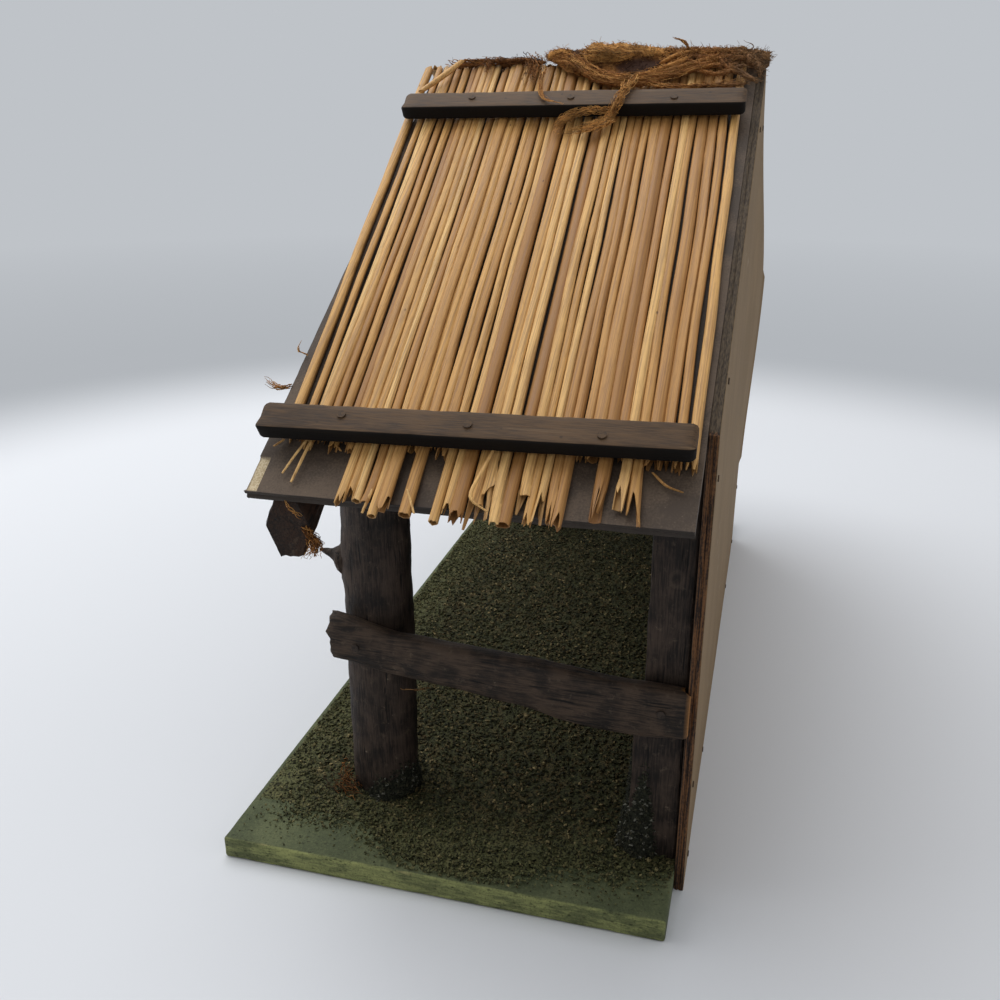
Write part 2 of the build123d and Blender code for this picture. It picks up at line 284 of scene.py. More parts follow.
class Shader(NodeSheet):
    """A material's tree, which reads places in millimetres."""

    def __init__(self, name: str) -> None:
        """Starts an empty material.

        Args:
            name: The material's name.
        """
        self.material = bpy.data.materials.new(name)
        self.material.use_nodes = True
        super().__init__(self.material.node_tree)
        self.tree.nodes.clear()
        self.place = self.vector("SCALE", self.node("ShaderNodeTexCoord", output="Object"), 1 / MM)
        self.turn = 0.0

    def axis(self, name: str) -> Wire:
        """One coordinate of the place."""
        return self.node("ShaderNodeSeparateXYZ", {}, {0: self.place}, name)

    def along(self, stretch: Sequence[float] | None) -> Wire:
        """The place, turned about Y and squeezed, so that a pattern is long where a factor is small.

        Args:
            stretch: A factor for each axis, or nothing for the plain place.

        Returns:
            The place for a texture.
        """
        if not stretch:
            return self.place
        turned = self.node("ShaderNodeMapping", {}, {"Vector": self.place,
                                                    "Rotation": (0.0, self.turn, 0.0)})
        return self.vector("MULTIPLY", turned, tuple(stretch))

    def grain(self, size: float, stretch: Sequence[float] | None = None, detail: float = 3.0,
              rough: float = 0.55) -> Wire:
        """Noise whose features have a size in millimetres."""
        return self.node("ShaderNodeTexNoise", {}, {"Vector": self.along(stretch), "Scale": 1 / size,
                                                    "Detail": detail, "Roughness": rough})

    def specks(self, size: float, stretch: Sequence[float] | None = None) -> Wire:
        """Distance from scattered points that lie about a size apart."""
        return self.node("ShaderNodeTexVoronoi", {}, {"Vector": self.along(stretch), "Scale": 1 / size})

    def mark(self, name: str) -> Wire:
        """A mark that the mesh carries."""
        return self.node("ShaderNodeAttribute", {"attribute_name": name}, {}, "Fac")

    def mask(self, value: Wire, low: float, high: float) -> Wire:
        """A soft step of a value, which falls where low is above high."""
        return self.node("ShaderNodeMapRange", {"interpolation_type": "SMOOTHSTEP"},
                         {0: value, 1: low, 2: high})

    def ramp(self, value: Wire, *stops: tuple[float, Colour]) -> Wire:
        """A colour ramp on a value."""
        return self.node("ShaderNodeValToRGB", {"stops": stops}, {0: value})

    def mix(self, share: Wire, under: Wire | Colour, over: Wire | Colour) -> Wire:
        """Two colours mixed."""
        return self.node("ShaderNodeMix", {"data_type": "RGBA"}, {0: share, 6: under, 7: over}, 2)

    def lay(self, under: Wire | Colour, over: Wire | Colour, value: Wire, low: float, high: float,
            share: Wire | float | None = None) -> Wire:
        """Lays a colour over another, whole or by a share, where a value passes a soft step."""
        step = self.mask(value, low, high)
        return self.mix(step if share is None else step * share, under, over)

    def finish(self, colour: Wire, roughness: Wire | float, height: Wire, relief: float,
               shine: float, metallic: float = 0.0) -> Material:
        """Ends the tree in a surface.

        Args:
            colour: The base colour.
            roughness: The roughness.
            height: The height for the bump, from 0 to 1.
            relief: How deep the bump is, in millimetres.
            shine: The specular level.
            metallic: How metallic it is.

        Returns:
            The material.
        """
        normal = self.node("ShaderNodeBump", {}, {"Strength": 1.0, "Distance": relief * MM,
                                                 "Height": height})
        surface = self.node("ShaderNodeBsdfPrincipled", {}, {
            "Base Color": colour, "Roughness": roughness, "Normal": normal,
            "Metallic": metallic, "Specular IOR Level": shine})
        self.node("ShaderNodeOutputMaterial", {}, {"Surface": surface})
        return self.material


@dataclass(frozen=True)
class Finish:
    """A kind of surface: the name of its material, and its slot."""

    name: str
    slot: ClassVar[str]

    def material(self) -> Material:
        """The material, which each kind of surface builds once in its own way."""
        raise NotImplementedError


@dataclass(frozen=True)
class PaintedBoard(Finish):
    """Thin green paint on a softwood board, scratched and worn to wood at its edges."""

    slot = "green_board"
    name: str = "green_board"
    shade: Colour = srgb(74, 81, 56)
    paint: Colour = srgb(93, 99, 70)
    end_paint: Colour = srgb(146, 151, 96)
    end_dark: Colour = srgb(86, 92, 61)
    wood: Colour = srgb(150, 140, 98)
    dent: Colour = srgb(34, 38, 26)
    dirt: Colour = srgb(40, 45, 29)

    @cache
    def material(self) -> Material:
        """Builds the material.

        Returns:
            The material.
        """
        sheet = Shader(self.name)
        edge = box_mm("base_board")[1]
        clouds = sheet.grain(14.0, detail=4.0)
        fine = sheet.grain(0.7, detail=4.0, rough=0.7)
        streaks = sheet.grain(1.1, (1.0, 0.16, 1.0), 6.0, 0.7)
        patches = sheet.grain(13.0, (1.0, 0.6, 1.6), 5.0, 0.65)
        scratches = sheet.grain(1.6, (0.6, 0.12, 1.0), 6.0)
        top = sheet.lay(self.shade, self.paint, clouds, 0.36, 0.66)
        ends = sheet.lay(self.end_dark, self.end_paint, streaks * 0.45 + patches * 0.55, 0.4, 0.62)
        at_end = sheet.mask(abs(sheet.axis("X")), edge.x - 0.9, edge.x - 0.2)
        rubbed = sheet.mask(sheet.axis("Z"), edge.z - 1.3, edge.z - 0.3) * at_end
        colour = sheet.mix(at_end, top, ends)
        colour = sheet.lay(colour, self.wood, scratches, 0.62, 0.7, rubbed * 0.7)
        colour = sheet.lay(colour, self.dent, sheet.specks(2.3, (1.0, 0.6, 1.2)), 0.24, 0.06, 0.7)
        colour = sheet.lay(colour, self.dirt, fine, 0.5, 0.68, 0.55)
        colour = sheet.lay(colour, self.end_paint, fine, 0.44, 0.32, 0.18)
        return sheet.finish(colour, 0.66 + clouds * 0.2, streaks * 0.7 + fine * 0.3, 0.35, 0.25)


@dataclass(frozen=True)
class Scatter(Finish):
    """Coloured sawdust, each grain in its own tone, with painted light making it paler towards the open
    edges.
    """

    slot = "scatter"
    name: str = "scatter"
    deep: Colour = srgb(27, 28, 17)
    olive: Colour = srgb(70, 71, 44)
    brown: Colour = srgb(96, 80, 52)
    pale: Colour = srgb(146, 130, 92)
    pale_from: float = 0.93
    painted_light_share: float = 0.5
    painted_light_colour: Colour = srgb(112, 114, 76)
    open_ends: tuple[float, float] = (168.0, 130.0)
    open_front: tuple[float, float] = (-72.0, -46.0)

    @cache
    def material(self) -> Material:
        """Builds the material.

        Returns:
            The material.
        """
        sheet = Shader(self.name)
        fine = sheet.grain(0.8)
        colour = sheet.ramp(sheet.mark("tint"), (0.0, self.deep), (0.45, self.olive), (0.75, self.brown),
                            (self.pale_from - 0.02, self.olive), (self.pale_from, self.pale))
        colour = sheet.lay(colour, self.olive, sheet.grain(30.0), 0.35, 0.65, 0.25)
        # Painted light: outside the roof's cover, at the open ends and front, the grains turn paler and
        # greener.
        covered = sheet.mask(abs(sheet.axis("X")), *self.open_ends)
        covered = covered * sheet.mask(sheet.axis("Y"), *self.open_front)
        colour = sheet.mix((1 - covered) * self.painted_light_share, colour, self.painted_light_colour)
        return sheet.finish(sheet.lay(self.deep, colour, fine, 0.35, 0.6), 0.85, fine, 0.12, 0.2)


@dataclass(frozen=True)
class Hardboard(Finish):
    """Pressed board: raw and tan outside, stained inside, dark and fibrous at its edges."""

    slot = "hardboard"
    name: str = "hardboard"
    raw_face: Colour = srgb(127, 104, 73)
    raw_dark: Colour = srgb(118, 96, 66)
    drawn: Colour = srgb(102, 82, 56)
    scuff: Colour = srgb(168, 155, 134)
    stain: Colour = srgb(52, 43, 35)
    stain_light: Colour = srgb(70, 58, 47)
    edge: Colour = srgb(30, 21, 16)
    edge_fibre: Colour = srgb(112, 76, 46)
    slope_edge: Colour = srgb(52, 43, 34)
    slope_fibre: Colour = srgb(86, 73, 57)

    @cache
    def material(self) -> Material:
        """Builds the material.

        Returns:
            The material.
        """
        sheet = Shader(self.name)
        half = box_mm("back_wall")[1].x
        through = sheet.mark("tint")
        clouds = sheet.grain(38.0, detail=4.0)
        fibres = sheet.grain(0.7, (0.5, 1.0, 1.0))
        face = sheet.lay(self.raw_dark, self.raw_face, clouds * 0.75 + fibres * 0.25, 0.4, 0.62)
        face = sheet.lay(face, self.drawn, sheet.grain(1.3, (1.0, 1.0, 0.03), 4.0), 0.48, 0.7, 0.35)
        face = sheet.lay(face, self.edge, sheet.specks(2.6), 0.22, 0.06, 0.35)
        face = sheet.lay(face, self.scuff, sheet.grain(5.0, (0.15, 1.0, 0.6), 5.0), 0.66, 0.72, 0.4)
        stained = sheet.lay(self.stain, self.stain_light, clouds, 0.38, 0.6)
        drawn_edge = sheet.grain(0.8, (1.0, 1.6, 0.05), 4.0)
        crumbs = sheet.grain(0.55, (1.0, 1.0, 0.5), 4.0, 0.7)
        layers = sheet.grain(0.6, (0.3, 1.4, 0.3), 5.0, 0.65)
        upright = sheet.lay(self.edge, self.edge_fibre, drawn_edge * 0.65 + crumbs * 0.35, 0.42, 0.6)
        sloped = sheet.lay(self.slope_edge, self.slope_fibre, layers, 0.38, 0.62)
        rim = sheet.lay(upright, sloped, abs(sheet.axis("X")), half - 0.9, half - 1.6)
        colour = sheet.lay(sheet.lay(rim, stained, through, 0.06, 0.01), face, through, 0.94, 0.99)
        return sheet.finish(colour, 0.72 + fibres * 0.15, fibres, 0.08, 0.3)


@dataclass(frozen=True)
class StainedHardboard(Finish):
    """Thin board with dark brown stain, pale where it is chipped."""

    slot = "stained_hardboard"
    name: str = "stained_hardboard"
    stain: Colour = srgb(68, 56, 46)
    worn: Colour = srgb(98, 83, 69)
    speck: Colour = srgb(132, 116, 98)
    edge: Colour = srgb(20, 15, 12)
    bare: Colour = srgb(206, 190, 158)
    bare_dark: Colour = srgb(176, 156, 122)

    @cache
    def material(self) -> Material:
        """Builds the material.

        Returns:
            The material.
        """
        sheet = Shader(self.name)
        clouds = sheet.grain(16.0, detail=5.0)
        fibres = sheet.grain(0.6)
        colour = sheet.lay(self.stain, self.worn, clouds * 0.7 + fibres * 0.3, 0.4, 0.62)
        colour = sheet.lay(colour, self.speck, sheet.specks(2.2), 0.14, 0.05, 0.3)
        # A low tint mark darkens the board: most at its eave and front edges, and under the straw as painted
        # shade.
        colour = sheet.lay(colour, self.edge, sheet.mark("tint"), 0.4, 0.05, 0.75)
        colour = sheet.mix(sheet.mark("raw"), colour, sheet.lay(self.bare_dark, self.bare, fibres, 0.4, 0.6))
        return sheet.finish(colour, 0.6 + clouds * 0.2, fibres, 0.1, 0.35)


@dataclass(frozen=True)
class Straw(Finish):
    """Dry golden stalks with fine streaks along them, each in its own tone."""

    slot = "straw"
    side: Side
    turned: Colour = srgb(164, 118, 64)
    tan: Colour = srgb(182, 134, 78)
    gold: Colour = srgb(210, 162, 95)
    light: Colour = srgb(234, 192, 126)
    streak: Colour = srgb(122, 79, 37)
    weather: Colour = srgb(150, 108, 60)
    flake: Colour = srgb(128, 90, 50)
    spot: Colour = srgb(92, 60, 34)
    grime_and_shade: Colour = srgb(94, 58, 30)

    @cache
    def material(self) -> Material:
        """Builds the material.

        Returns:
            The material.
        """
        sheet = Shader(self.name)
        sheet.turn = -self.side.value * ROOF_PITCH
        streaks = sheet.grain(0.5, (0.015, 1.0, 1.0), 4.0, 0.65)
        shade = sheet.mask(streaks, 0.34, 0.62)
        tone = sheet.ramp(sheet.mark("tint"), (0.0, self.turned), (0.25, self.tan), (0.55, self.gold),
                          (0.9, self.light))
        tone = sheet.mix((1 - shade) * 0.6, tone, self.streak)
        tone = sheet.lay(tone, self.weather, sheet.grain(22.0, (0.35, 1.2, 1.0), 4.0), 0.5, 0.72, 0.4)
        tone = sheet.lay(tone, self.flake, sheet.grain(0.8, (0.14, 1.0, 1.0), 4.0, 0.7), 0.5, 0.7, 0.3)
        tone = sheet.lay(tone, self.spot, sheet.specks(9.0, (0.5, 1.0, 1.0)), 0.05, 0.02, 0.8)
        # The raw mark darkens the stalks: painted shade inside their open ends and along their lower flanks
        # between stalks, and dirt with painted shade near the ridge.
        tone = sheet.mix(sheet.mark("raw") * 0.85, tone, self.grime_and_shade)
        return sheet.finish(tone, 0.48 + shade * 0.16, streaks, 0.1, 0.35)


@dataclass(frozen=True)
class StainedWood(Finish):
    """Dark stained softwood, with its grain along the piece, paler rubbed edges and a painted shade where
    its mark is low.
    """

    slot = "stained_wood"
    stretch: tuple[float, float, float]
    turn: float = 0.0
    painted_underside_shade: float = 0.0
    deep: Colour = srgb(48, 34, 22)
    stain: Colour = srgb(91, 69, 47)
    rubbed: Colour = srgb(120, 98, 73)
    stroke: Colour = srgb(30, 22, 16)
    underside_shade_colour: Colour = srgb(4, 3, 2)

    @cache
    def material(self) -> Material:
        """Builds the material.

        Returns:
            The material.
        """
        sheet = Shader(self.name)
        sheet.turn = self.turn
        lines = sheet.grain(0.42, self.stretch, 4.0, 0.6)
        clouds = sheet.grain(11.0, [0.3 + 0.7 * c for c in self.stretch])
        colour = sheet.lay(self.deep, self.stain, lines * 0.6 + clouds * 0.4, 0.32, 0.62)
        colour = sheet.lay(colour, self.rubbed, sheet.grain(3.2, self.stretch, 6.0), 0.6, 0.72, 0.45)
        colour = sheet.lay(colour, self.stroke, sheet.specks(7.0), 0.1, 0.04, 0.6)
        # Painted shade: where the tint mark is low, as on a batten's down-slope side, the wood turns almost
        # black and rougher.
        shadow = sheet.mask(sheet.mark("tint"), 0.4, 0.05) * self.painted_underside_shade
        colour = sheet.mix(shadow, colour, self.underside_shade_colour)
        return sheet.finish(colour, 0.5 + lines * 0.25 + shadow * 0.25, lines, 0.1, 0.22)


@dataclass(frozen=True)
class DarkLog(Finish):
    """Logs stained almost black, with fine ridges, dust and pale scratches."""

    slot = "dark_log"
    stretch: tuple[float, float, float]
    turn: float = 0.0
    deep: Colour = srgb(24, 18, 15)
    bark: Colour = srgb(66, 54, 46)
    dust: Colour = srgb(108, 93, 78)
    fleck: Colour = srgb(140, 124, 106)
    crack: Colour = srgb(9, 7, 6)
    pit: Colour = srgb(14, 10, 8)
    bare: Colour = srgb(170, 118, 62)
    knot_dark: Colour = srgb(12, 9, 7)
    fleck_stretch: tuple[float, float, float] = (1.0, 0.6, 0.8)
    knot: tuple[float, float] | None = None

    @cache
    def material(self) -> Material:
        """Builds the material.

        Returns:
            The material.
        """
        sheet = Shader(self.name)
        flecks = sheet.mask(sheet.specks(2.4, self.fleck_stretch), 0.16, 0.05)
        # The patterns from here on follow the log.
        sheet.turn = self.turn
        ridges = sheet.grain(0.6, self.stretch, 5.0, 0.65)
        clouds = sheet.grain(9.0, detail=4.0)
        dusty = sheet.mask(sheet.grain(3.0, detail=6.0, rough=0.75), 0.54, 0.74)
        cracks = sheet.mask(sheet.grain(1.5, self.stretch, 2.0), 0.37, 0.3)
        pits = sheet.mask(sheet.specks(3.1, self.stretch), 0.2, 0.05)
        colour = sheet.lay(self.deep, self.bark, ridges * 0.5 + clouds * 0.5, 0.38, 0.62)
        for share, over in ((dusty * 0.4, self.dust), (flecks * dusty * 0.9, self.fleck),
                            (cracks * 0.85, self.crack), (pits * 0.6, self.pit)):
            colour = sheet.mix(share, colour, over)
        if self.knot:
            aside = sheet.axis("Y") - self.knot[0]
            above = (sheet.axis("Z") - self.knot[1]) * 0.75
            away = (aside * aside + above * above) ** 0.5 + (clouds - 0.5) * 1.5
            colour = sheet.lay(colour, self.dust, abs(away - 1.9), 0.8, 0.2, 0.12)
            colour = sheet.lay(colour, self.knot_dark, away, 1.4, 0.5, 0.45)
        colour = sheet.mix(sheet.mark("raw"), colour, self.bare)
        return sheet.finish(colour, 0.55 + clouds * 0.2, ridges * 0.7 - cracks * 0.4 - pits * 0.3, 0.4, 0.22)


@dataclass(frozen=True)
class DriedFibre(Finish):
    """Dry plant fibre, rusty on the ridge and greyer towards the back wall."""

    slot = "dried_fibre"
    name: str = "dried_fibre"
    dark: Colour = srgb(52, 27, 10)
    rust: Colour = srgb(170, 113, 60)
    bright: Colour = srgb(218, 160, 90)
    golden: Colour = srgb(232, 180, 108)
    dull: Colour = srgb(146, 110, 70)
    grey: Colour = srgb(116, 97, 74)

    @cache
    def material(self) -> Material:
        """Builds the material.

        Returns:
            The material.
        """
        sheet = Shader(self.name)
        back = box_mm("back_wall")[1].y
        threads = sheet.grain(0.5, (1.0, 0.12, 1.0), 4.0, 0.65)
        tone = sheet.ramp(sheet.mark("tint"), (0.0, self.dark), (0.45, self.rust), (0.78, self.bright),
                          (0.97, self.golden), (1.0, self.dull))
        tone = sheet.lay(tone, self.dark, sheet.grain(9.0), 0.52, 0.38, 0.4)
        # The raw mark lays painted shade: in the mat's hollow and between its lumps, and over each roll by
        # its shade.
        tone = sheet.mix(sheet.mark("raw") * 0.85, tone, self.dark)
        tone = sheet.lay(tone, self.grey, sheet.axis("Y"), back - 22.0, back - 2.0, 0.55)
        tone = sheet.lay(tone, self.dark, threads, 0.5, 0.36, 0.5)
        return sheet.finish(tone, 0.8, threads, 0.5, 0.2)


@dataclass(frozen=True)
class NailSteel(Finish):
    """Dull nails, stained with the wood around them and a little rusty."""

    slot = "nail_steel"
    name: str = "nail_steel"
    steel: Colour = srgb(86, 67, 48)
    rust: Colour = srgb(62, 47, 34)

    @cache
    def material(self) -> Material:
        """Builds the material.

        Returns:
            The material.
        """
        sheet = Shader(self.name)
        stains = sheet.grain(0.9, detail=4.0)
        colour = sheet.lay(self.rust, self.steel, stains, 0.42, 0.6)
        return sheet.finish(colour, 0.55 + stains * 0.3, stains, 0.05, 0.3, 0.15)


def placed(name: str, data: bpy.types.ID) -> Object:
    """Adds an object to the scene.

    Args:
        name: Its name.
        data: Its mesh, lamp or camera.

    Returns:
        The object.
    """
    made = bpy.data.objects.new(name, data)
    bpy.context.scene.collection.objects.link(made)
    return made


def settle(name: str, mesh: Mesh, finish: Finish, *nodes: str) -> None:
    """Makes a mesh a piece under the body, hides the CAD nodes that it stands for and logs its slot.

    Args:
        name: The piece's name.
        mesh: Its mesh, which has its material.
        finish: Its finish.
        *nodes: The CAD nodes that it replaces.
    """
    piece = placed(name, mesh)
    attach(piece, BODY)
    if nodes:
        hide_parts(*nodes)
    log.info("%s: %d faces, slot %s", name, len(mesh.polygons), finish.slot)


class Draft:
    """The points, faces and strands of one piece, gathered in millimetres."""

    def __init__(self) -> None:
        """Starts with nothing."""
        self.points: list[Vector] = []
        self.faces: list[tuple[int, ...]] = []
        self.edges: list[tuple[int, int]] = []
        self.marks: dict[str, list[float]] = {"tint": [], "raw": [], "cover": []}

    def add(self, point: Vector, tint: float = 0.5, raw: float = 0.0, cover: float = 1.0) -> int:
        """Adds a point with its marks.

        Args:
            point: Where it is.
            tint: Its place in the finish's range of colours.
            raw: How much bare material shows; straw and fibre take it as darkening, mostly painted shade.
            cover: The share of grains that lie there.

        Returns:
            The point's number.
        """
        self.points.append(point)
        for values, value in zip(self.marks.values(), (tint, raw, cover)):
            values.append(value)
        return len(self.points) - 1

    def loft(self, rings: Sequence[Sequence[Vector]], tint: float = 0.5,
             raws: Sequence[float] = ()) -> "Draft":
        """Adds a closed skin over rings of as many points each.

        Args:
            rings: The rings, in order.
            tint: The mark of every point.
            raws: The raw mark of each ring, bare wood on the rail and a darkening on the fibre rolls, or
                nothing where none is.

        Returns:
            The draft.
        """
        bare = raws or [0.0] * len(rings)
        numbers = [[self.add(point, tint, raw) for point in ring] for ring, raw in zip(rings, bare)]
        count = len(rings[0])
        for lower, upper in zip(numbers, numbers[1:]):
            for k in range(count):
                after = (k + 1) % count
                self.faces.append((lower[k], lower[after], upper[after], upper[k]))
        for end, turn in ((0, -1), (-1, 1)):
            middle = self.add(sum(rings[end], Vector()) / count, tint, bare[end])
            for k in range(count):
                pair = (numbers[end][k], numbers[end][(k + 1) % count])
                self.faces.append((middle, *pair[::turn]))
        return self

    def slab(self, us: Sequence[float], vs: Sequence[float], ws: Sequence[float],
             place: Callable[[float, float, float], Spot]) -> "Draft":
        """Adds a closed slab: two grids joined by a strip round their rim.

        Args:
            us: Places along the slab.
            vs: Places across it.
            ws: Places through its thickness.
            place: Gives the point and its marks for a place of each kind.

        Returns:
            The draft.
        """

        @cache
        def at(i: int, j: int, k: int) -> int:
            """The number of a grid's point."""
            return self.add(*place(us[i], vs[j], ws[k]))

        last_u, last_v, last_w = len(us) - 1, len(vs) - 1, len(ws) - 1
        for i in range(last_u):
            for j in range(last_v):
                self.faces.append((at(i, j, 0), at(i, j + 1, 0), at(i + 1, j + 1, 0), at(i + 1, j, 0)))
                self.faces.append((at(i, j, last_w), at(i + 1, j, last_w),
                                   at(i + 1, j + 1, last_w), at(i, j + 1, last_w)))
        rim = [(i, 0) for i in range(last_u)] + [(last_u, j) for j in range(last_v)]
        rim += [(i, last_v) for i in range(last_u, 0, -1)] + [(0, j) for j in range(last_v, 0, -1)]
        for (i, j), (m, n) in zip(rim, rim[1:] + rim[:1]):
            for k in range(last_w):
                self.faces.append((at(i, j, k), at(m, n, k), at(m, n, k + 1), at(i, j, k + 1)))
        return self

    def strand(self, path: Sequence[Vector], tint: float) -> None:
        """Adds a thread as a chain of edges."""
        numbers = [self.add(point, tint) for point in path]
        self.edges.extend(zip(numbers, numbers[1:]))

    def mesh(self, name: str) -> Mesh:
        """Makes the mesh, in metres, with its marks and its faces turned outwards.

        Args:
            name: The mesh's name.

        Returns:
            The mesh.
        """
        mesh = bpy.data.meshes.new(name)
        mesh.from_pydata([point * MM for point in self.points], self.edges, self.faces)
        for mark, values in self.marks.items():
            mesh.attributes.new(mark, "FLOAT", "POINT").data.foreach_set("value", values)
        if self.faces:
            work = bmesh.new()
            work.from_mesh(mesh)
            bmesh.ops.recalc_face_normals(work, faces=work.faces)
            work.to_mesh(mesh)
            work.free()
        return mesh

    def piece(self, name: str, finish: Finish, *nodes: str, crease: float = 35.0) -> None:
        """Makes a shaded piece.

        Args:
            name: The piece's name.
            finish: Its finish.
            *nodes: The CAD nodes that it replaces.
            crease: Edges sharper than this, in degrees, stay sharp.
        """
        mesh = self.mesh(name)
        mesh.materials.append(finish.material())
        mesh.shade_smooth()
        mesh.set_sharp_from_angle(angle=math.radians(crease))
        settle(name, mesh, finish, *nodes)


class GeometryTree(NodeSheet):
    """A Geometry Nodes tree with named inputs that grows one piece from a host mesh."""

    def __init__(self, name: str, finish: Finish) -> None:
        """Builds the tree.

        Args:
            name: The tree's name.
            finish: The finish of what it makes.
        """
        super().__init__(bpy.data.node_groups.new(name, "GeometryNodeTree"))
        self.finish = finish
        self.identifiers: list[str] = []
        for socket, way in (("Host", "INPUT"), ("Grown", "OUTPUT")):
            self.tree.interface.new_socket(socket, in_out=way, socket_type="NodeSocketGeometry")
        self.source = self.tree.nodes.new("NodeGroupInput")
        self.host = Wire(self, self.source.outputs["Host"])
        whole = self.node("GeometryNodeRealizeInstances", {}, {"Geometry": self.plan()})
        dressed = self.node("GeometryNodeSetMaterial", {}, {"Geometry": whole,
                                                           "Material": finish.material()})
        self.node("NodeGroupOutput", {}, {"Grown": dressed})

    def plan(self) -> Wire:
        """The nodes between the host and the result, which each kind of tree gives."""
        raise NotImplementedError

    def sizes(self, *names: str) -> list[Wire]:
        """Adds named inputs.

        Args:
            *names: Their names; the seed is a whole number.

        Returns:
            The inputs, for use in the tree.
        """
        for name in names:
            kind = "NodeSocketInt" if name == "Seed" else "NodeSocketFloat"
            made = self.tree.interface.new_socket(name, in_out="INPUT", socket_type=kind)
            self.identifiers.append(made.identifier)
        return [Wire(self, self.source.outputs[name]) for name in names]

    def own(self, mark: str) -> Wire:
        """A mark of each element."""
        return self.node("GeometryNodeInputNamedAttribute", {"data_type": "FLOAT"}, {"Name": mark})

    def chance(self, low: float | Colour, high: float | Colour, seed: Wire) -> Wire:
        """A random value for each element, or a random vector between two."""
        kind, first, output = ("FLOAT_VECTOR", 0, 0) if isinstance(low, tuple) else ("FLOAT", 2, 1)
        return self.node("FunctionNodeRandomValue", {"data_type": kind},
                         {first: low, first + 1: high, "Seed": seed}, output)

    def scattered(self, density: Wire, seed: Wire) -> Wire:
        """Points on the host, thick where its cover mark is high."""
        return self.node("GeometryNodeDistributePointsOnFaces", {"distribute_method": "RANDOM"},
                         {"Mesh": self.host, "Density": density * self.own("cover"), "Seed": seed})

    def instances(self, points: Wire, shape: Wire, turn: Wire, scale: Wire, tint: Wire) -> Wire:
        """A shape on each point, with its own turn, size and tint."""
        made = self.node("GeometryNodeInstanceOnPoints", {}, {"Points": points, "Instance": shape,
                                                             "Rotation": turn, "Scale": scale})
        return self.node("GeometryNodeStoreNamedAttribute", {"data_type": "FLOAT", "domain": "INSTANCE"},
                         {"Geometry": made, "Name": "tint", "Value": tint})

    def threads(self, curve: Wire, radius: Wire, reach: Wire, wave: Wire) -> Wire:
        """Bends threads, each its own way, and gives them a round section that thins towards the tip.

        Args:
            curve: The threads.
            radius: Their radius, in metres.
            reach: How far they bend, in metres.
            wave: The size of the bends, in metres.

        Returns:
            The threads as tubes.
        """
        tint = self.own("tint")
        shift = self.node("ShaderNodeCombineXYZ", {}, {0: tint * 37.0, 1: tint * 61.0, 2: tint * 13.0})
        spread = self.vector("SCALE", self.node("GeometryNodeInputPosition"), wave ** -1.0)
        drift = self.node("ShaderNodeTexNoise", {}, {"Vector": self.vector("ADD", spread, shift),
                                                     "Scale": 1.0, "Detail": 2.0}, 1)
        offset = self.vector("SCALE", self.vector("SUBTRACT", drift, (0.5, 0.5, 0.5)), reach * 2.0)
        bent = self.node("GeometryNodeSetPosition", {}, {"Geometry": curve, "Offset": offset})
        ring = self.node("GeometryNodeCurvePrimitiveCircle", {"mode": "RADIUS"},
                         {"Resolution": 3, "Radius": radius})
        taper = 1.0 - self.node("GeometryNodeSplineParameter") * 0.6
        return self.node("GeometryNodeCurveToMesh", {}, {"Curve": bent, "Profile Curve": ring,
                                                        "Scale": taper, "Fill Caps": True})

    def grow(self, name: str, host: Draft, *sizes: float) -> None:
        """Runs the tree on a host and settles the result as a plain mesh.

        Args:
            name: The new piece's name.
            host: What it grows on.
            *sizes: A value for each named input, in order.
        """
        bed = host.mesh(name)
        carrier = placed(name + "_host", bed)
        modifier = carrier.modifiers.new("grow", "NODES")
        modifier.node_group = self.tree
        for identifier, value in zip(self.identifiers, sizes, strict=True):
            modifier[identifier] = value
        graph = bpy.context.evaluated_depsgraph_get()
        mesh = bpy.data.meshes.new_from_object(carrier.evaluated_get(graph), preserve_all_data_layers=True,
                                               depsgraph=graph)
        carrier.modifiers.clear()
        bpy.data.objects.remove(carrier)
        bpy.data.meshes.remove(bed)
        mesh.name = name
        settle(name, mesh, self.finish)


class GrainTree(GeometryTree):
    """Loose grains scattered over a host, thick where its cover mark is high."""

    def plan(self) -> Wire:
        """Scatters small angular grains, each turned and stretched its own way.

        Returns:
            The grains.
        """
        density, length, seed = self.sizes("Grains per area", "Grain length", "Seed")
        rise = self.node("ShaderNodeCombineXYZ", {}, {2: self.chance(-0.35, 0.35, seed + 4) * length})
        points = self.node("GeometryNodeSetPosition", {}, {"Geometry": self.scattered(density, seed),
                                                          "Offset": rise})
        grain = self.node("GeometryNodeMeshUVSphere", {}, {"Segments": 4, "Rings": 2, "Radius": 0.5})
        scale = self.vector("SCALE", self.chance((0.45, 0.35, 0.3), (1.25, 0.8, 0.6), seed + 1),
                            length * (self.own("cover") * 0.5 + 0.5))
        angles = self.chance((-0.7, -0.7, 0.0), (0.7, 0.7, 6.28), seed + 2)
        turn = self.node("FunctionNodeEulerToRotation", {}, {0: angles})
        return self.instances(points, grain, turn, scale, self.chance(0.0, 1.0, seed + 3))


class StrandTree(GeometryTree):
    """Threads along chains of edges."""

    def plan(self) -> Wire:
        """Turns each chain into a curled, tapering thread."""
        sizes = self.sizes("Thread radius", "Curl reach", "Curl size")
        return self.threads(self.node("GeometryNodeMeshToCurve", {}, {"Mesh": self.host}), *sizes)


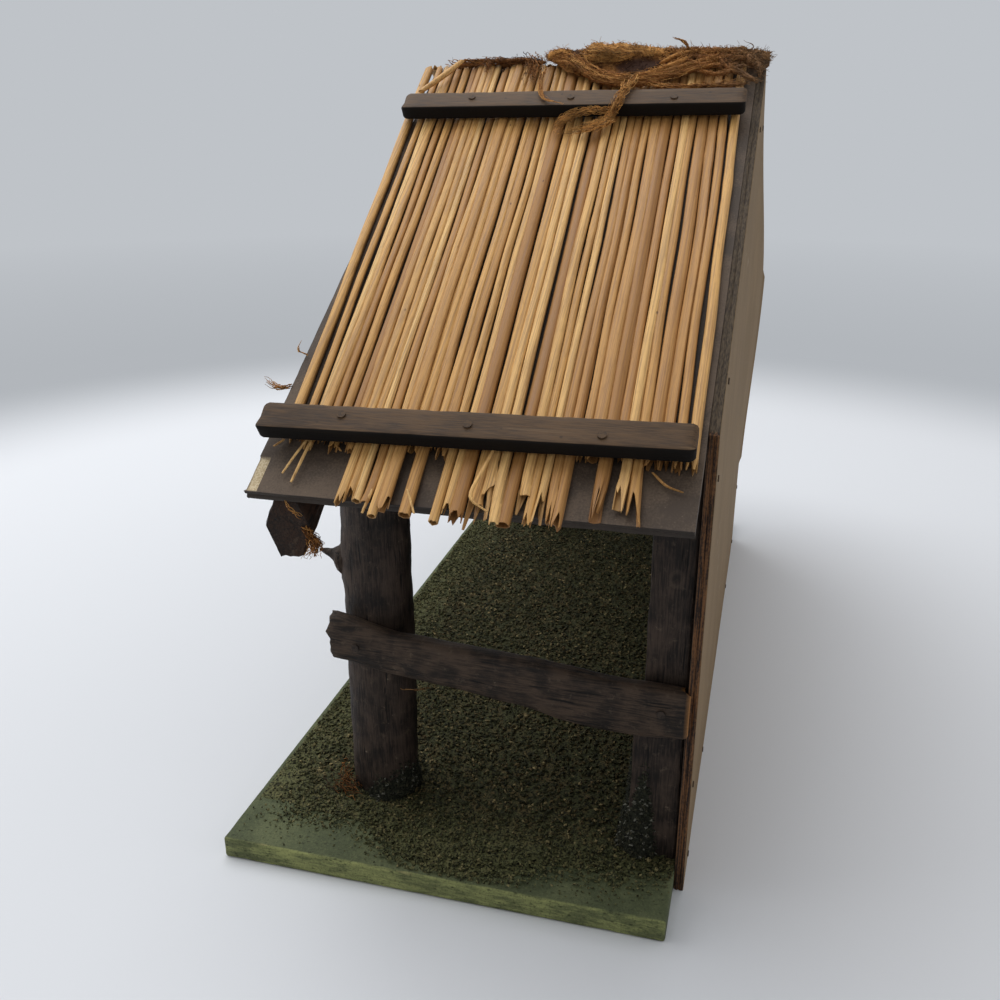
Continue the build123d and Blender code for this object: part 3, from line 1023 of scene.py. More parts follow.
class FibreTree(GeometryTree):
    """A coat of short fibres on a host."""

    def plan(self) -> Wire:
        """Lays curled fibres on the surface, with a slight lean along the ridge.

        Returns:
            The fibres.
        """
        density, length, *curl, lean, seed = self.sizes(
            "Fibres per area", "Fibre length", "Fibre radius", "Curl reach", "Curl size",
            "Share along ridge", "Seed")
        line = self.node("GeometryNodeCurvePrimitiveLine", {}, {"Start": (0.0, 0.0, -0.3),
                                                               "End": (0.0, 0.0, 0.7)})
        line = self.node("GeometryNodeResampleCurve", {}, {"Curve": line, "Count": 5})
        way = self.vector("ADD", self.chance((-1.0, -1.0, -0.3), (1.0, 1.0, 0.3), seed + 1),
                          self.node("ShaderNodeCombineXYZ", {}, {1: lean}))
        turn = self.node("FunctionNodeAlignRotationToVector", {"axis": "Z"}, {"Vector": way})
        size = self.chance(0.5, 1.4, seed + 2) * length
        tint = self.own("tint") + self.chance(-0.3, 0.3, seed + 3)
        made = self.instances(self.scattered(density, seed), line, turn, size, tint)
        return self.threads(self.node("GeometryNodeRealizeInstances", {}, {"Geometry": made}), *curl)


@dataclass(frozen=True)
class Slope:
    """One roof slope: s runs down from the ridge, y along it and h square off the board."""

    side: Side

    @property
    def ridge(self) -> float:
        """The height of the ridge."""
        return box_mm("back_wall")[1].z

    @property
    def eave(self) -> float:
        """How far down the slope the board reaches."""
        low, high = box_mm(self.side.node("roof_board"))
        return max(-low.x, high.x) / PITCH_COS

    @property
    def thickness(self) -> float:
        """The board's thickness."""
        low, _ = box_mm(self.side.node("roof_board"))
        return (self.ridge - self.eave * PITCH_SIN - low.z) / PITCH_COS

    def point(self, s: float, y: float, h: float) -> Vector:
        """A place on the slope, in the row frame."""
        across = s * PITCH_COS + h * PITCH_SIN
        return Vector((self.side.value * across, y, self.ridge - s * PITCH_SIN + h * PITCH_COS))

    def middle(self, node: str) -> tuple[float, float]:
        """The slope coordinates s and h of a node's middle.

        Args:
            node: A node on this slope.

        Returns:
            How far down the slope it is, and how far off the board.
        """
        low, high = box_mm(node)
        across = abs(low.x + high.x) / 2
        drop = self.ridge - (low.z + high.z) / 2
        return across * PITCH_COS + drop * PITCH_SIN, across * PITCH_SIN - drop * PITCH_COS


@dataclass
class BaseBoard:
    """The green base board, with round, knocked edges."""

    finish: Finish = PaintedBoard()
    edge_round: float = 1.0
    steps: tuple[float, float, float] = (3.5, 3.5, 1.5)
    wear: float = 0.3

    def build(self) -> None:
        """Builds and dresses the board."""
        low, high = box_mm("base_board")
        size = high - low

        def place(*at: float) -> Spot:
            """A point of the worn board.

            Args:
                *at: Its place, counted from the board's low corner.

            Returns:
                The point, with no marks of its own.
            """
            inner = Vector([min(max(c, self.edge_round), s - self.edge_round) for c, s in zip(at, size)])
            outward = (Vector(at) - inner).normalized()
            world = low + (inner + outward * self.edge_round)
            edge = 1.0 - max(abs(c) for c in outward)
            dent = max(0.0, bumps(world, 6.0, 1.0) - 0.25) * 2.2 * edge
            rough = bumps(world, 2.2, 2.0) * (0.05 + self.wear * edge)
            world -= outward * (dent + abs(rough))
            world.z = max(world.z, 0.0)
            return (world,)

        spans = [spaced(length, step, self.edge_round) for length, step in zip(size, self.steps)]
        Draft().slab(*spans, place).piece("base_board_worn", self.finish, "base_board", crease=50.0)


@dataclass(frozen=True)
class Heap:
    """Grit that climbs one side of a post.

    It has the post's node and half sizes, how far the heap spreads and how high it climbs, the way it
    climbs most, in degrees from the stable's end towards the wall, and how little of the way round it goes.
    """

    stem: str
    foot: tuple[float, float]
    spread: float
    rise: float
    bearing: float
    narrow: float


@dataclass
class GroundCover:
    """Sawdust glued over the base board, with heaps of grit at the posts' feet."""

    sawdust: Finish = Scatter()
    grit: Finish = Scatter("grit", srgb(22, 23, 17), srgb(52, 54, 41), srgb(68, 64, 49),
                           srgb(120, 119, 109), 0.91, 0.0)
    border: Knots = ((-75, 165), (-55, 166), (-32, 169), (-20, 176), (-8, 184), (10, 186), (23, 182),
                     (33, 175), (47, 170.5), (62, 168), (75, 167.5))
    heaps: tuple[Heap, ...] = (Heap("front_post", (11.6, 11.6), 2.4, 26.0, 62.0, 0.15),
                               Heap("back_post", (4.5, 8.4), 3.2, 46.0, -60.0, 0.05))
    layer: float = 0.6
    grains: float = 0.8
    grit_grains: float = 1.1
    grain_length: float = 2.3
    layer_inset: float = 11.0
    layer_grid: tuple[int, int] = (56, 48)
    seed: int = 10
    grit_seed: int = 20

    def build(self) -> None:
        """Builds the layer and its grains, then the heaps and theirs."""
        tree = GrainTree("sawdust", self.sawdust)
        for side in Side:
            self.glued_layer(side).piece(side.node("scatter_layer"), self.sawdust, "green_scatter")
            tree.grow(side.node("scatter_grains"), self.grain_bed(side), self.grains / MM ** 2,
                      self.grain_length * MM, self.seed + side.value)
        tree = GrainTree("grit", self.grit)
        for side in Side:
            heaped = Draft()
            for heap in self.heaps:
                self.pile(heaped, side, heap)
            heaped.piece(side.node("foot_heaps"), self.grit)
            tree.grow(side.node("foot_grit"), heaped, self.grit_grains / MM ** 2, self.grain_length * MM,
                      self.grit_seed + side.value)

    def edge_x(self, y: float, side: Side) -> float:
        """How far out the sawdust reaches at a place along an end of the board."""
        ragged = bumps(Vector((0.0, y, 0.0)), 9.0, 3.0 + side.value) * 2.0
        return profile(self.border, y) + ragged

    def cover(self, x: float, y: float) -> float:
        """The share of grains at a place: whole inside, patchy at the borders.

        Args:
            x: The place across.
            y: The place along.

        Returns:
            A share from 0 to 1.
        """
        inside = self.edge_x(y, Side.RIGHT if x > 0 else Side.LEFT) - abs(x)
        front = y - box_mm("green_scatter")[0].y
        patch = bumps(Vector((x, y, 0.0)), 13.0, 5.0)
        thin = smooth(-5.0, 13.0, inside + 6.0 * patch)
        bald = smooth(2.0, 30.0, front + inside * 0.6 + 16.0 * patch)
        return 0.06 + 0.94 * thin * (0.25 + 0.75 * bald)

    def glued_layer(self, side: Side) -> Draft:
        """The thin glued layer on one half of the board, with a ragged rim.

        Args:
            side: The half.

        Returns:
            The layer.
        """
        low, high = box_mm("green_scatter")

        def place(u: float, v: float, w: float) -> Spot:
            """A point of the layer.

            Args:
                u: The place outwards, from 0 to 1.
                v: The place from front to back, from 0 to 1.
                w: 0 for the underside and 1 for the top.

            Returns:
                The point and its tone.
            """
            y = blend(low.y, high.y, v) + (0.8 * bumps(Vector((u * 90, 0, 0)), 8.0, 7.0) if v == 0 else 0)
            x = u * (self.edge_x(y, side) - self.layer_inset)
            thick = 0.12 + self.layer * smooth(0.0, 0.06, 1 - u) * smooth(0.0, 0.05, v)
            lumps = 0.35 * bumps(Vector((x, y, 0.0)), 3.0, 8.0)
            point = Vector((side.value * x, y, low.z + w * max(0.08, thick + lumps)))
            return point, 0.5 + 0.4 * bumps(point, 1.8, 4.0)

        return Draft().slab(*map(even, self.layer_grid), [0.0, 1.0], place)

    def grain_bed(self, side: Side, columns: int = 60, rows: int = 52, margin: float = 1.5) -> Draft:
        """A bare grid over one half of the board that carries the grains.

        Args:
            side: The half.
            columns: How many faces it has across.
            rows: How many it has along.
            margin: How far it stays from the board's end.

        Returns:
            The grid, with its cover.
        """
        low, high = box_mm("green_scatter")
        draft = Draft()
        for i in range(columns + 1):
            x = side.value * (box_mm("base_board")[1].x - margin) * i / columns
            for along in even(rows):
                y = blend(low.y + 0.5, high.y - 0.5, along)
                cover = self.cover(x, y)
                lift = 0.25 + 0.75 * self.layer * smooth(0.2, 0.9, cover)
                draft.add(Vector((x, y, low.z + lift)), cover=cover)
        for i in range(columns):
            for j in range(rows):
                corner = i * (rows + 1) + j
                draft.faces.append((corner, corner + rows + 1, corner + rows + 2, corner + 1))
        return draft

    @staticmethod
    def pile(draft: Draft, side: Side, heap: Heap) -> None:
        """Adds one heap.

        Args:
            draft: What the heap is added to.
            side: The post's side.
            heap: The heap.
        """
        low, high = box_mm(side.node(heap.stem))
        across, deep = heap.foot
        centre = Vector(((low.x + high.x) / 2, high.y - deep, low.z))
        against_wall = deep + 0.2 if heap.stem == "back_post" else math.inf

        def skin(level: float, angle: float) -> Vector:
            """A point of the heap.

            Args:
                level: How far up, from 0 to 1.
                angle: The way round the post.

            Returns:
                The point.
            """
            facing = smooth(heap.narrow, 0.9, math.cos(angle - math.radians(heap.bearing)))
            ragged = 1.0 + 0.45 * bumps(Vector((math.cos(angle), math.sin(angle), level)), 0.45, side.value)
            out = facing * (heap.spread * (1 - level) ** 1.6 * ragged + 0.9 * (1 - level)) - 0.6
            up = level * (1.0 + heap.rise * facing ** 2) * ragged
            back = min((deep + out) * math.sin(angle), against_wall)
            return centre + Vector((side.value * ((across + out) * math.cos(angle)), back, up))

        draft.loft([[skin(level, angle) for angle in around(28)] for level in even(4)], 0.2)


@dataclass
class BackWall:
    """The hardboard wall: one gable sheet with frayed, split edges."""

    finish: Finish = Hardboard()
    step: float = 3.4
    bow: float = 3.8
    flake: float = 50.0
    layers: tuple[float, ...] = (0.0, 0.08, 0.22, 0.38, 0.5, 0.62, 0.78, 0.92, 1.0)

    @staticmethod
    def fray(point: Vector, w: float, seed: float) -> float:
        """How far the edge has worn back at a layer.

        Args:
            point: The place on the edge.
            w: The layer, from 0 inside to 1 outside.
            seed: The edge's seed.

        Returns:
            The distance.
        """
        split = 0.75 * math.exp(-((w - 0.5) / 0.1) ** 2) * (0.6 + 0.5 * bumps(point, 25.0, seed))
        torn = 0.3 * abs(bumps(Vector((point.x, w * 9.0, point.z)), 2.4, seed))
        lip = 0.35 * (smooth(0.85, 1.0, w) + smooth(0.15, 0.0, w))
        return max(0.0, split + torn + lip)

    def build(self) -> None:
        """Builds and dresses the wall."""
        low, high = box_mm("back_wall")
        half = high.x
        corner = high.z - half * PITCH_TAN

        def place(u: float, v: float, w: float) -> Spot:
            """A point of the wall.

            Args:
                u: The place across, from 0 to 1.
                v: The place up, from 0 to 1.
                w: The layer, from 0 inside to 1 outside.

            Returns:
                The point, with its layer as its tone.
            """
            x = blend(-half, half, u)
            top = corner + (half - abs(x)) * PITCH_TAN
            point = Vector((x, low.y + w * (high.y - low.y), v * top))
            if u in (0.0, 1.0):
                point.x -= math.copysign(self.fray(point, w, 1.0 + u), x)
            if v == 1.0:
                point.z -= self.fray(point, w, 4.0)
            bowed = smooth(0.1 * half, half, -x) * smooth(0.25 * corner, corner, point.z)
            ripple = 0.12 * bumps(point, 60.0, 6.0)
            flake = smooth(half - 5.0, half - 1.0, -x) * smooth(self.flake - 1.0, self.flake + 1.0, point.z)
            point.y += self.bow * bowed + ripple * w + flake
            return point, w

        columns = even(2 * round(half / self.step))
        rows = even(round(high.z / self.step))
        sheet = Draft().slab(columns, rows, self.layers, place)
        sheet.piece("back_wall_sheet", self.finish, "back_wall", crease=40.0)


@dataclass
class Stalk:
    """One straw on a slope."""

    upper_y: float
    lower_y: float
    radius: float
    start: float
    stop: float
    end: StrawEnd
    tint: float
    height: float
    lift: float


@dataclass
class StrawRow:
    """The straw on one slope: stalks side by side, many snapped off under the lower batten.

    Each whole stretch has its first and last place along the eave, and how far its stalks pass it.
    """

    side: Side
    front_upper: float = -55.8
    front_lower: float = -45.5
    back_upper: float = 71.0
    back_lower: float = 73.9
    whole: Route = ((-23.4, -14.5, 4.6), (-14.5, -8.0, 7.5), (-4.0, -0.6, 5.0), (4.0, 14.0, 5.8),
                    (14.0, 26.2, 7.4), (28.0, 41.0, 6.2), (47.2, 51.6, 2.6), (54.6, 58.8, 1.8))
    count: int = 40
    batten_half: float = 5.6
    batten_skew: float = 4.0
    wall: float = 0.3
    sides: int = 14
    ring_step: float = 8.0
    hollow: float = 11.0
    tail: float = 16.0
    stages: tuple[float, ...] = (0.0, 0.4, 0.75, 1.0)
    slits: int = 4
    stalk_seed: int = 7
    row_seed: int = 41
    askew_seed: int = 91

    def build(self) -> None:
        """Builds and dresses the straw."""
        slope = Slope(self.side)
        draft = Draft()
        dice = random.Random(self.stalk_seed + self.side.value)
        lower_edge = slope.middle(self.side.node("lower_batten"))[0] + self.batten_half
        for stalk in self.stalks(lower_edge, slope.eave):
            self.add_stalk(draft, slope, stalk, dice)
        draft.piece(self.side.node("roof_straw"), Straw(self.side.node("straw"), self.side),
                    self.side.node("roof_straws"), crease=50.0)

    def stalks(self, lower_edge: float, eave: float) -> list[Stalk]:
        """Chooses the stalks from front to back.

        Args:
            lower_edge: Where the lower batten ends, down the slope.
            eave: Where the board ends.

        Returns:
            The stalks.
        """
        dice = random.Random(self.row_seed + self.side.value)
        askew = random.Random(self.askew_seed + self.side.value)
        row = []
        room = self.back_lower - self.front_lower
        raised = [dice.random() < 0.5 for _ in range(self.count)]
        radii = [dice.uniform(1.2, 1.75) if proud else dice.uniform(1.4, 2.4) for proud in raised]
        gaps = [dice.choice((0.0, 0.0, 0.0, 0.25, 0.6)) for _ in range(self.count)]
        radii[0] = radii[-1] = 1.8
        gaps[0] = 2.0
        gaps[-2] = 1.6
        packing = (room - sum(gaps[:-1])) / (2 * sum(radii))
        edge = 0.0
        for proud, spare, gap in zip(raised, radii, gaps):
            radius = spare * packing
            share = (edge + radius) / room
            lower_y = self.front_lower + share * room
            # Sunk stalks get darker tones than raised ones, a painted shade between the raised stalks on top
            # of each stalk's own tone.
            tint = min(1.0, max(0.0, dice.gauss(0.7, 0.15) if proud else dice.gauss(0.3, 0.18)))
            past = next((past for first, last, past in self.whole if first <= lower_y <= last), None)
            if past is None:
                stop = lower_edge + self.batten_skew * (0.5 - share) + dice.uniform(-2.5, 1.2)
                end = StrawEnd.TORN
            else:
                stop = eave + past + dice.uniform(-2.5, 0.8)
                end = dice.choice((StrawEnd.CUT, StrawEnd.TORN, StrawEnd.SPLIT))
                end = StrawEnd.SPLIT if past < 3.0 else end
            upper_y = blend(self.front_upper, self.back_upper, share)
            if 0 < len(row) < self.count - 1:
                upper_y += askew.uniform(-0.45, 0.45)
            else:
                tint = max(tint, 0.62)
            start = dice.uniform(0.0, 1.2)
            height = min(radius, dice.uniform(1.3, 1.65))
            lift = dice.uniform(0.7, 1.2) if proud else 0.0
            width = radius * (1.2 if proud else 1.1)
            row.append(Stalk(upper_y, lower_y, width, start, stop, end, tint, height, lift))
            edge += 2 * radius + gap
        return row

    def rim(self, end: StrawEnd, dice: random.Random) -> list[tuple[float, float]]:
        """How far each line of a stalk's end stands back from its full length, and how it leans aside.

        Args:
            end: How the end looks.
            dice: The random source.

        Returns:
            A set-back and a lean for each of its sides.
        """
        everyone = range(self.sides)
        if end is StrawEnd.CUT:
            return [(dice.uniform(0.0, 0.5), 0.0) for _ in everyone]
        if end is StrawEnd.TORN:
            return [(dice.choice((0.0, 0.5, 1.5, 3.0, 4.5)) + dice.uniform(0.0, 0.8), 0.0) for _ in everyone]
        slits = dice.sample(everyone, self.slits)
        slivers = [(dice.choice((0.0, 1.0, 3.0, 8.0)), dice.uniform(-1.4, 1.4)) for _ in slits]
        lines = []
        for k in everyone:
            short, lean = slivers[sum(slit <= k for slit in slits) % self.slits]
            lines.append((dice.uniform(9.0, 14.0) if k in slits else short + dice.uniform(0.0, 0.7), lean))
        return lines

    def add_stalk(self, draft: Draft, slope: Slope, stalk: Stalk, dice: random.Random) -> None:
        """Adds one hollow stalk.

        Args:
            draft: What it is added to.
            slope: The slope that it lies on.
            stalk: The stalk.
            dice: The random source.
        """
        length = stalk.stop - stalk.start
        count = max(3, round(length / self.ring_step))
        bow = dice.uniform(-0.65, 0.65)
        crease = dice.uniform(0.6, 2.5)
        crease_depth = dice.choice((0.0, 0.06, 0.14, 0.24))
        knot = dice.uniform(-0.6, 1.2)
        lines = self.rim(stalk.end, dice)
        taper = dice.uniform(-0.08, 0.08)

        def flattened(share: float) -> float:
            """A sine pushed outwards, which makes a round section flatter on top."""
            return math.copysign(abs(share) ** 0.86, share)

        def ring(share: float, thinner: float = 0.0, backs: Sequence[float] = (0.0,) * self.sides,
                 bent: float = 0.0) -> list[Vector]:
            """A ring of the skin, or of the inside where it is thinner.

            Args:
                share: The place along the stalk, from 0 to 1.
                thinner: How far inside the skin it lies.
                backs: How far each of its points stands back.
                bent: How much of each line's lean shows.

            Returns:
                The ring's points.
            """
            swell = 1.0 + 0.12 * math.exp(-((share - knot) * length / 1.6) ** 2) + taper * (share - 0.5)
            made = []
            for angle, back, (_, lean) in zip(around(self.sides), backs, lines):
                s = blend(stalk.start, stalk.stop, share) - back
                turn = (angle - crease + math.pi) % math.tau - math.pi
                ribs = 1.0 - crease_depth * math.exp(-(turn / 0.35) ** 2)
                ribs += 0.03 * math.cos(5 * angle + crease)
                across = max(0.15, stalk.radius * ribs * swell - thinner)
                up = max(0.15, stalk.height * ribs * swell - thinner)
                wander = bow * math.sin(math.pi * share)
                wander += 0.7 * bumps(Vector((s, stalk.tint * 900, 0)), 50.0, 2.0)
                y = blend(stalk.upper_y, stalk.lower_y, s / slope.eave) + wander + lean * bent
                made.append(slope.point(s, y + across * flattened(math.cos(angle)),
                                        0.1 + stalk.lift + stalk.height + up * flattened(math.sin(angle))))
            return made

        deep = self.hollow / length
        tail = self.tail / length
        backs = [back for back, _ in lines]
        upper_backs = [-backs[-k] * 0.4 for k in range(self.sides)]
        rings = [ring(deep, self.wall), ring(0.0, self.wall, upper_backs), ring(0.0, 0.0, upper_backs)]
        rings += [ring((1 - tail) * j / count) for j in range(1, count)]
        rings += [ring(1 - tail * (1 - t), 0.0, [back * t for back in backs], t * t) for t in self.stages]
        rings += [ring(1.0, self.wall, backs, 1.0), ring(1.0 - deep, self.wall, [max(backs)] * self.sides)]
        # Painted shade: the raw mark is high inside the open ends and on the lower flanks, and near the
        # ridge it is dirt with painted shade.
        dirt = [0.3 * smooth(22.0, 4.0, stalk.start + length * j / count) for j in range(count)]
        worn = [0.8, 0.3, *dirt, *[0.0] * len(self.stages), 0.1, 0.8]
        painted_flank_shade = [0.6 * smooth(0.5, -0.15, math.sin(angle)) for angle in around(self.sides)]
        draft.loft(rings, stalk.tint)
        bare = [max(level, flank) for level in worn for flank in painted_flank_shade] + [worn[0], worn[-1]]
        draft.marks["raw"][-len(bare):] = bare


@dataclass
class RoofSlope:
    """One slope's board and battens."""

    side: Side
    board_finish: Finish = StainedHardboard()
    batten_finish: Finish = StainedWood("batten_wood", (1.0, 0.06, 1.0), painted_underside_shade=0.95)
    step: float = 4.0
    batten_width: float = 10.0
    batten_thickness: float = 5.0
    batten_round: float = 0.7
    lower_skew: float = 4.0
    upper_skew: float = 3.2
    upper_longer: float = 1.6
    eave_skew: float = 1.3
    chip_start: float = 203.0
    chip_width: float = 3.7
    layers: tuple[float, ...] = (0.0, 0.1, 0.3, 0.5, 0.7, 0.9, 1.0)
    straw_area: tuple[float, float, float] = (196.0, -46.0, 73.0)

    def build(self) -> None:
        """Builds the board, then the battens."""
        self.board()
        self.batten("lower_batten", self.lower_skew, 0.0)
        self.batten("upper_batten", self.upper_skew, self.upper_longer)

    def board(self) -> None:
        """Builds the board, with frayed edges and, on the right slope, a pale chip at its front corner."""
        slope = Slope(self.side)
        low, high = box_mm(self.side.node("roof_board"))
        eave = slope.eave
        depth = high.y - low.y
        straw_down, straw_front, straw_back = self.straw_area

        def place(u: float, v: float, w: float) -> Spot:
            """A point of the board.

            Args:
                u: The place down the slope.
                v: The place from front to back.
                w: The layer, from 0 on top to 1 below.

            Returns:
                The point, its tone and how bare it is.
            """
            h = -w * slope.thickness
            s = blend(-h * PITCH_TAN, eave + self.eave_skew * (1 - v / depth), u / eave)
            y = low.y + v
            at_front, at_eave = v == 0.0, u == eave
            worn = Vector((s, y, w * 6.0))
            fray = 0.3 * abs(bumps(worn, 2.6, 3.0)) + 0.5 * max(0.0, bumps(worn, 9.0, 5.0) - 0.2)
            fray += 0.4 * math.exp(-((w - 0.5) / 0.14) ** 2)
            y += fray * at_front
            s -= fray * at_eave
            chipped = (self.side is Side.RIGHT and self.chip_start < s < eave + 0.6
                       and y < low.y + self.chip_width)
            if chipped and w < 0.25:
                h -= 0.45 + 0.3 * bumps(worn, 3.0, 8.0)
                y += 0.6 * at_front
            under_straw = s < straw_down and straw_front < y < straw_back
            # Under the straw the tone is low, which the finish darkens into painted shade; the eave and
            # front edges get the lowest tone.
            tone = 0.0 if at_eave or at_front else 0.15 if under_straw else 0.5
            bare = 0.35 if v < 0.9 else 1.0
            return slope.point(s, y, h), tone, bare if chipped and w < 0.4 else 0.0

        down = spaced(eave, self.step, 1.0) + [self.chip_start + more for more in (-0.1, 0.1, 2.0)]
        across = spaced(depth, self.step, 1.0) + [self.chip_width - 0.1, self.chip_width + 0.1, 2.0]
        Draft().slab(sorted(down), sorted(across), self.layers, place).piece(
            self.side.node("roof_sheet"), self.board_finish, self.side.node("roof_board"), crease=40.0)

    def batten(self, stem: str, skew: float, longer: float) -> None:
        """Builds one batten, a little askew as it was nailed.

        Args:
            stem: The node's name without its side.
            skew: How much lower its front end lies.
            longer: How far its front end stands out.
        """
        slope = Slope(self.side)
        node = self.side.node(stem)
        middle_s, middle_h = slope.middle(node)
        low, high = box_mm(node)
        front = low.y - longer
        length = high.y - front
        outline = rounded_rectangle(self.batten_width, self.batten_thickness, self.batten_round, 1.6)
        seed = len(stem) + self.side.value * 0.5

        def skin(along: float, a: float, b: float) -> Vector:
            """A point of the worn batten.

            Args:
                along: The place along it.
                a: The place across its section.
                b: The place up its section.

            Returns:
                The point.
            """
            inset = 1.1 * (1 - min(1.0, min(along, length - along) / 1.5)) ** 2
            raw = Vector((a, along, b))
            dent = 0.1 * bumps(raw, 6.0, seed) + 0.06 * bumps(Vector((a, along * 0.2, b)), 1.2, seed)
            corner = abs(a) / self.batten_width + abs(b) / self.batten_thickness
            knock = 0.6 * max(0.0, bumps(raw, 5.0, seed + 3) - 0.25) * smooth(0.75, 0.95, corner)
            shrink = 1 - (inset + knock + dent) / math.hypot(a, b)
            drift = skew * (0.5 - along / length)
            return slope.point(middle_s + drift + a * shrink, front + along,
                               max(middle_h + b * shrink, middle_h - self.batten_thickness / 2))

        places = spaced(length, 2.4, 1.5)
        draft = Draft().loft([[skin(along, a, b) for a, b in outline] for along in places])
        # The down-slope side gets a low tint mark, which the finish turns into painted shade.
        shaded = [0.5 if a < 4.6 else 0.0 for a, _ in outline]
        draft.marks["tint"] = shaded * len(places) + [0.5, 0.5]
        draft.piece(self.side.node(stem + "_worn"), self.batten_finish, node, crease=40.0)


@dataclass
class Timbers:
    """The log posts, back posts, rails and front rafters of one side."""

    side: Side
    post_finish: Finish = DarkLog("dark_post", (1.0, 1.0, 0.07))
    lath_finish: Finish = DarkLog("dark_lath", (1.0, 1.0, 0.07), fleck_stretch=(1.0, 0.22, 1.0),
                                  knot=(69.0, 109.6))
    rail_finish: Finish = DarkLog("dark_rail", (1.0, 0.06, 1.0), deep=srgb(25, 19, 15),
                                  bark=srgb(72, 58, 47))
    rail_thickness: float = 7.0
    rail_height: float = 13.0
    rail_top: Knots = ((0, 82.6), (0.2, 78.2), (0.6, 77.0), (0.8, 75.3), (1, 74.9))
    rail_bottom: Knots = ((0, 66.7), (0.2, 63.8), (0.55, 61.0), (0.66, 58.6), (0.78, 56.8), (0.9, 57.3),
                          (1, 59.0))
    stub_height: float = 96.0
    stub_bends: Route = ((0, 0, 0), (0, -4.7, 1.2), (0.3, -9.0, 2.8), (0.5, -13.2, 3.8))
    stub_girth: Knots = ((0, 5.5), (0.36, 4.8), (0.5, 3.4), (0.68, 1.7), (1, 0.4))
    rafter_facets: Knots = ((-0.22, 0.0), (0.2, 0.0), (0.5, -0.42), (0.3, -0.95), (-0.2, -1.0), (-0.5, -0.5))

    def build(self) -> None:
        """Builds every timber of this side."""
        self.front_post()
        self.back_post()
        self.rail()
        self.rafter()

    def mirrored(self, x: float, y: float, z: float) -> Vector:
        """A place on this side, from its place on the right side."""
        return Vector((self.side.value * x, y, z))

    def sizes(self, stem: str) -> tuple[Vector, Vector]:
        """The corners of this side's node, as they lie on the right side."""
        return box_mm(Side.RIGHT.node(stem))

    def front_post(self) -> None:
        """Builds the log post with its broken branch stub."""
        low, high = self.sizes("front_post")
        radius = (high.x - low.x) / 2
        axis = Vector(((low.x + high.x) / 2, high.y - radius + 0.7))
        seed = 11.0 + self.side.value

        def skin(share: float, angle: float) -> Vector:
            """A point of the log.

            Args:
                share: How far up, from 0 to 1.
                angle: The way round it.

            Returns:
                The point.
            """
            way = Vector((math.cos(angle), math.sin(angle)))
            z = blend(low.z, high.z - (axis.x + radius * way.x - low.x) * PITCH_TAN, share)
            bark = Vector((way.x * 11, way.y * 11, z))
            facets = 0.55 * bumps(Vector((way.x * 9.0, way.y * 9.0, z * 0.16)), 7.0, seed)
            ridges = 0.25 * bumps(Vector((way.x * 22, way.y * 22, z * 0.3)), 2.0, seed)
            rough = 0.3 * bumps(bark, 8.0, seed) + 0.3 * bumps(bark, 1.7, seed)
            knot = 1.5 * math.exp(-((z - self.stub_height) / 9) ** 2) * max(0.0, -way.y) ** 3
            reach = radius + 0.45 + facets + ridges + rough + knot - 0.9 * smooth(0.06, 0.0, share)
            return self.mirrored(axis.x + reach * way.x, axis.y + reach * way.y, z)

        draft = Draft().loft([[skin(share, angle) for angle in around(44)] for share in even(64)])
        root = Vector((axis.x + 2.0, axis.y - radius * 0.6, self.stub_height))
        path = curve_through([root + Vector(bend) for bend in self.stub_bends], 14)

        def thorn(share: float, centre: Vector, angle: float) -> Vector:
            """A point of the stub.

            Args:
                share: The place along it, from 0 to 1.
                centre: Its middle there.
                angle: The way round it.

            Returns:
                The point.
            """
            way = Vector((math.cos(angle), 0.0, math.sin(angle)))
            size = profile(self.stub_girth, share) * (1 + 0.4 * bumps(centre + way * 3, 2.0, seed))
            return self.mirrored(*(centre + way * size))

        draft.loft([[thorn(share, centre, angle) for angle in around(12)]
                    for share, centre in zip(even(13), path)])
        draft.piece(self.side.node("front_log"), self.post_finish, self.side.node("front_post"), crease=60.0)

    def back_post(self) -> None:
        """Builds the flat lath against the wall."""
        low, high = self.sizes("back_post")
        middle = (low + high) / 2
        outline = rounded_rectangle(high.x - low.x, high.y - low.y, 1.2, 1.8)
        seed = 21.0 + self.side.value

        def skin(share: float, a: float, b: float) -> Vector:
            """A point of the lath.

            Args:
                share: How far up, from 0 to 1.
                a: The place across its section.
                b: The place from front to back of its section.

            Returns:
                The point.
            """
            z = blend(low.z, high.z - (middle.x + a - low.x) * PITCH_TAN, share)
            rough = 0.3 * bumps(Vector((a, b, z * 0.2)), 2.4, seed)
            rough += 0.25 * bumps(Vector((a, b, z)), 9.0, seed)
            shrink = 1 - (0.25 + rough) / math.hypot(a, b)
            foot = 2.6 * smooth(66.0, 58.0, z) if b < 0 else 0.0
            return self.mirrored(middle.x + a * shrink, min(middle.y + b * shrink - foot, high.y), z)

        Draft().loft([[skin(share, a, b) for a, b in outline] for share in even(60)]).piece(
            self.side.node("back_lath"), self.lath_finish, self.side.node("back_post"), crease=45.0)

    def rail(self) -> None:
        """Builds the split log that is nailed to the posts' outer sides."""
        low, high = self.sizes("rail")
        post_low, post_high = self.sizes("front_post")
        lath_low, lath_high = self.sizes("back_post")
        radius = (post_high.x - post_low.x) / 2
        to_lath = Vector((lath_high.x - (post_low.x + post_high.x) / 2, lath_low.y - (post_high.y - radius)))
        bearing = math.atan2(to_lath.y, to_lath.x) + math.asin(radius / to_lath.length)
        ahead = Vector((math.cos(bearing), math.sin(bearing)))
        outward = Vector((ahead.y, -ahead.x))
        corner = Vector((lath_high.x, lath_low.y))
        first = (low.y - corner.y) / ahead.y
        length = (high.y - corner.y) / ahead.y - 0.4 - first
        seed = 31.0 + self.side.value
        outline = rounded_rectangle(self.rail_thickness, self.rail_height, 1.7, 1.5)

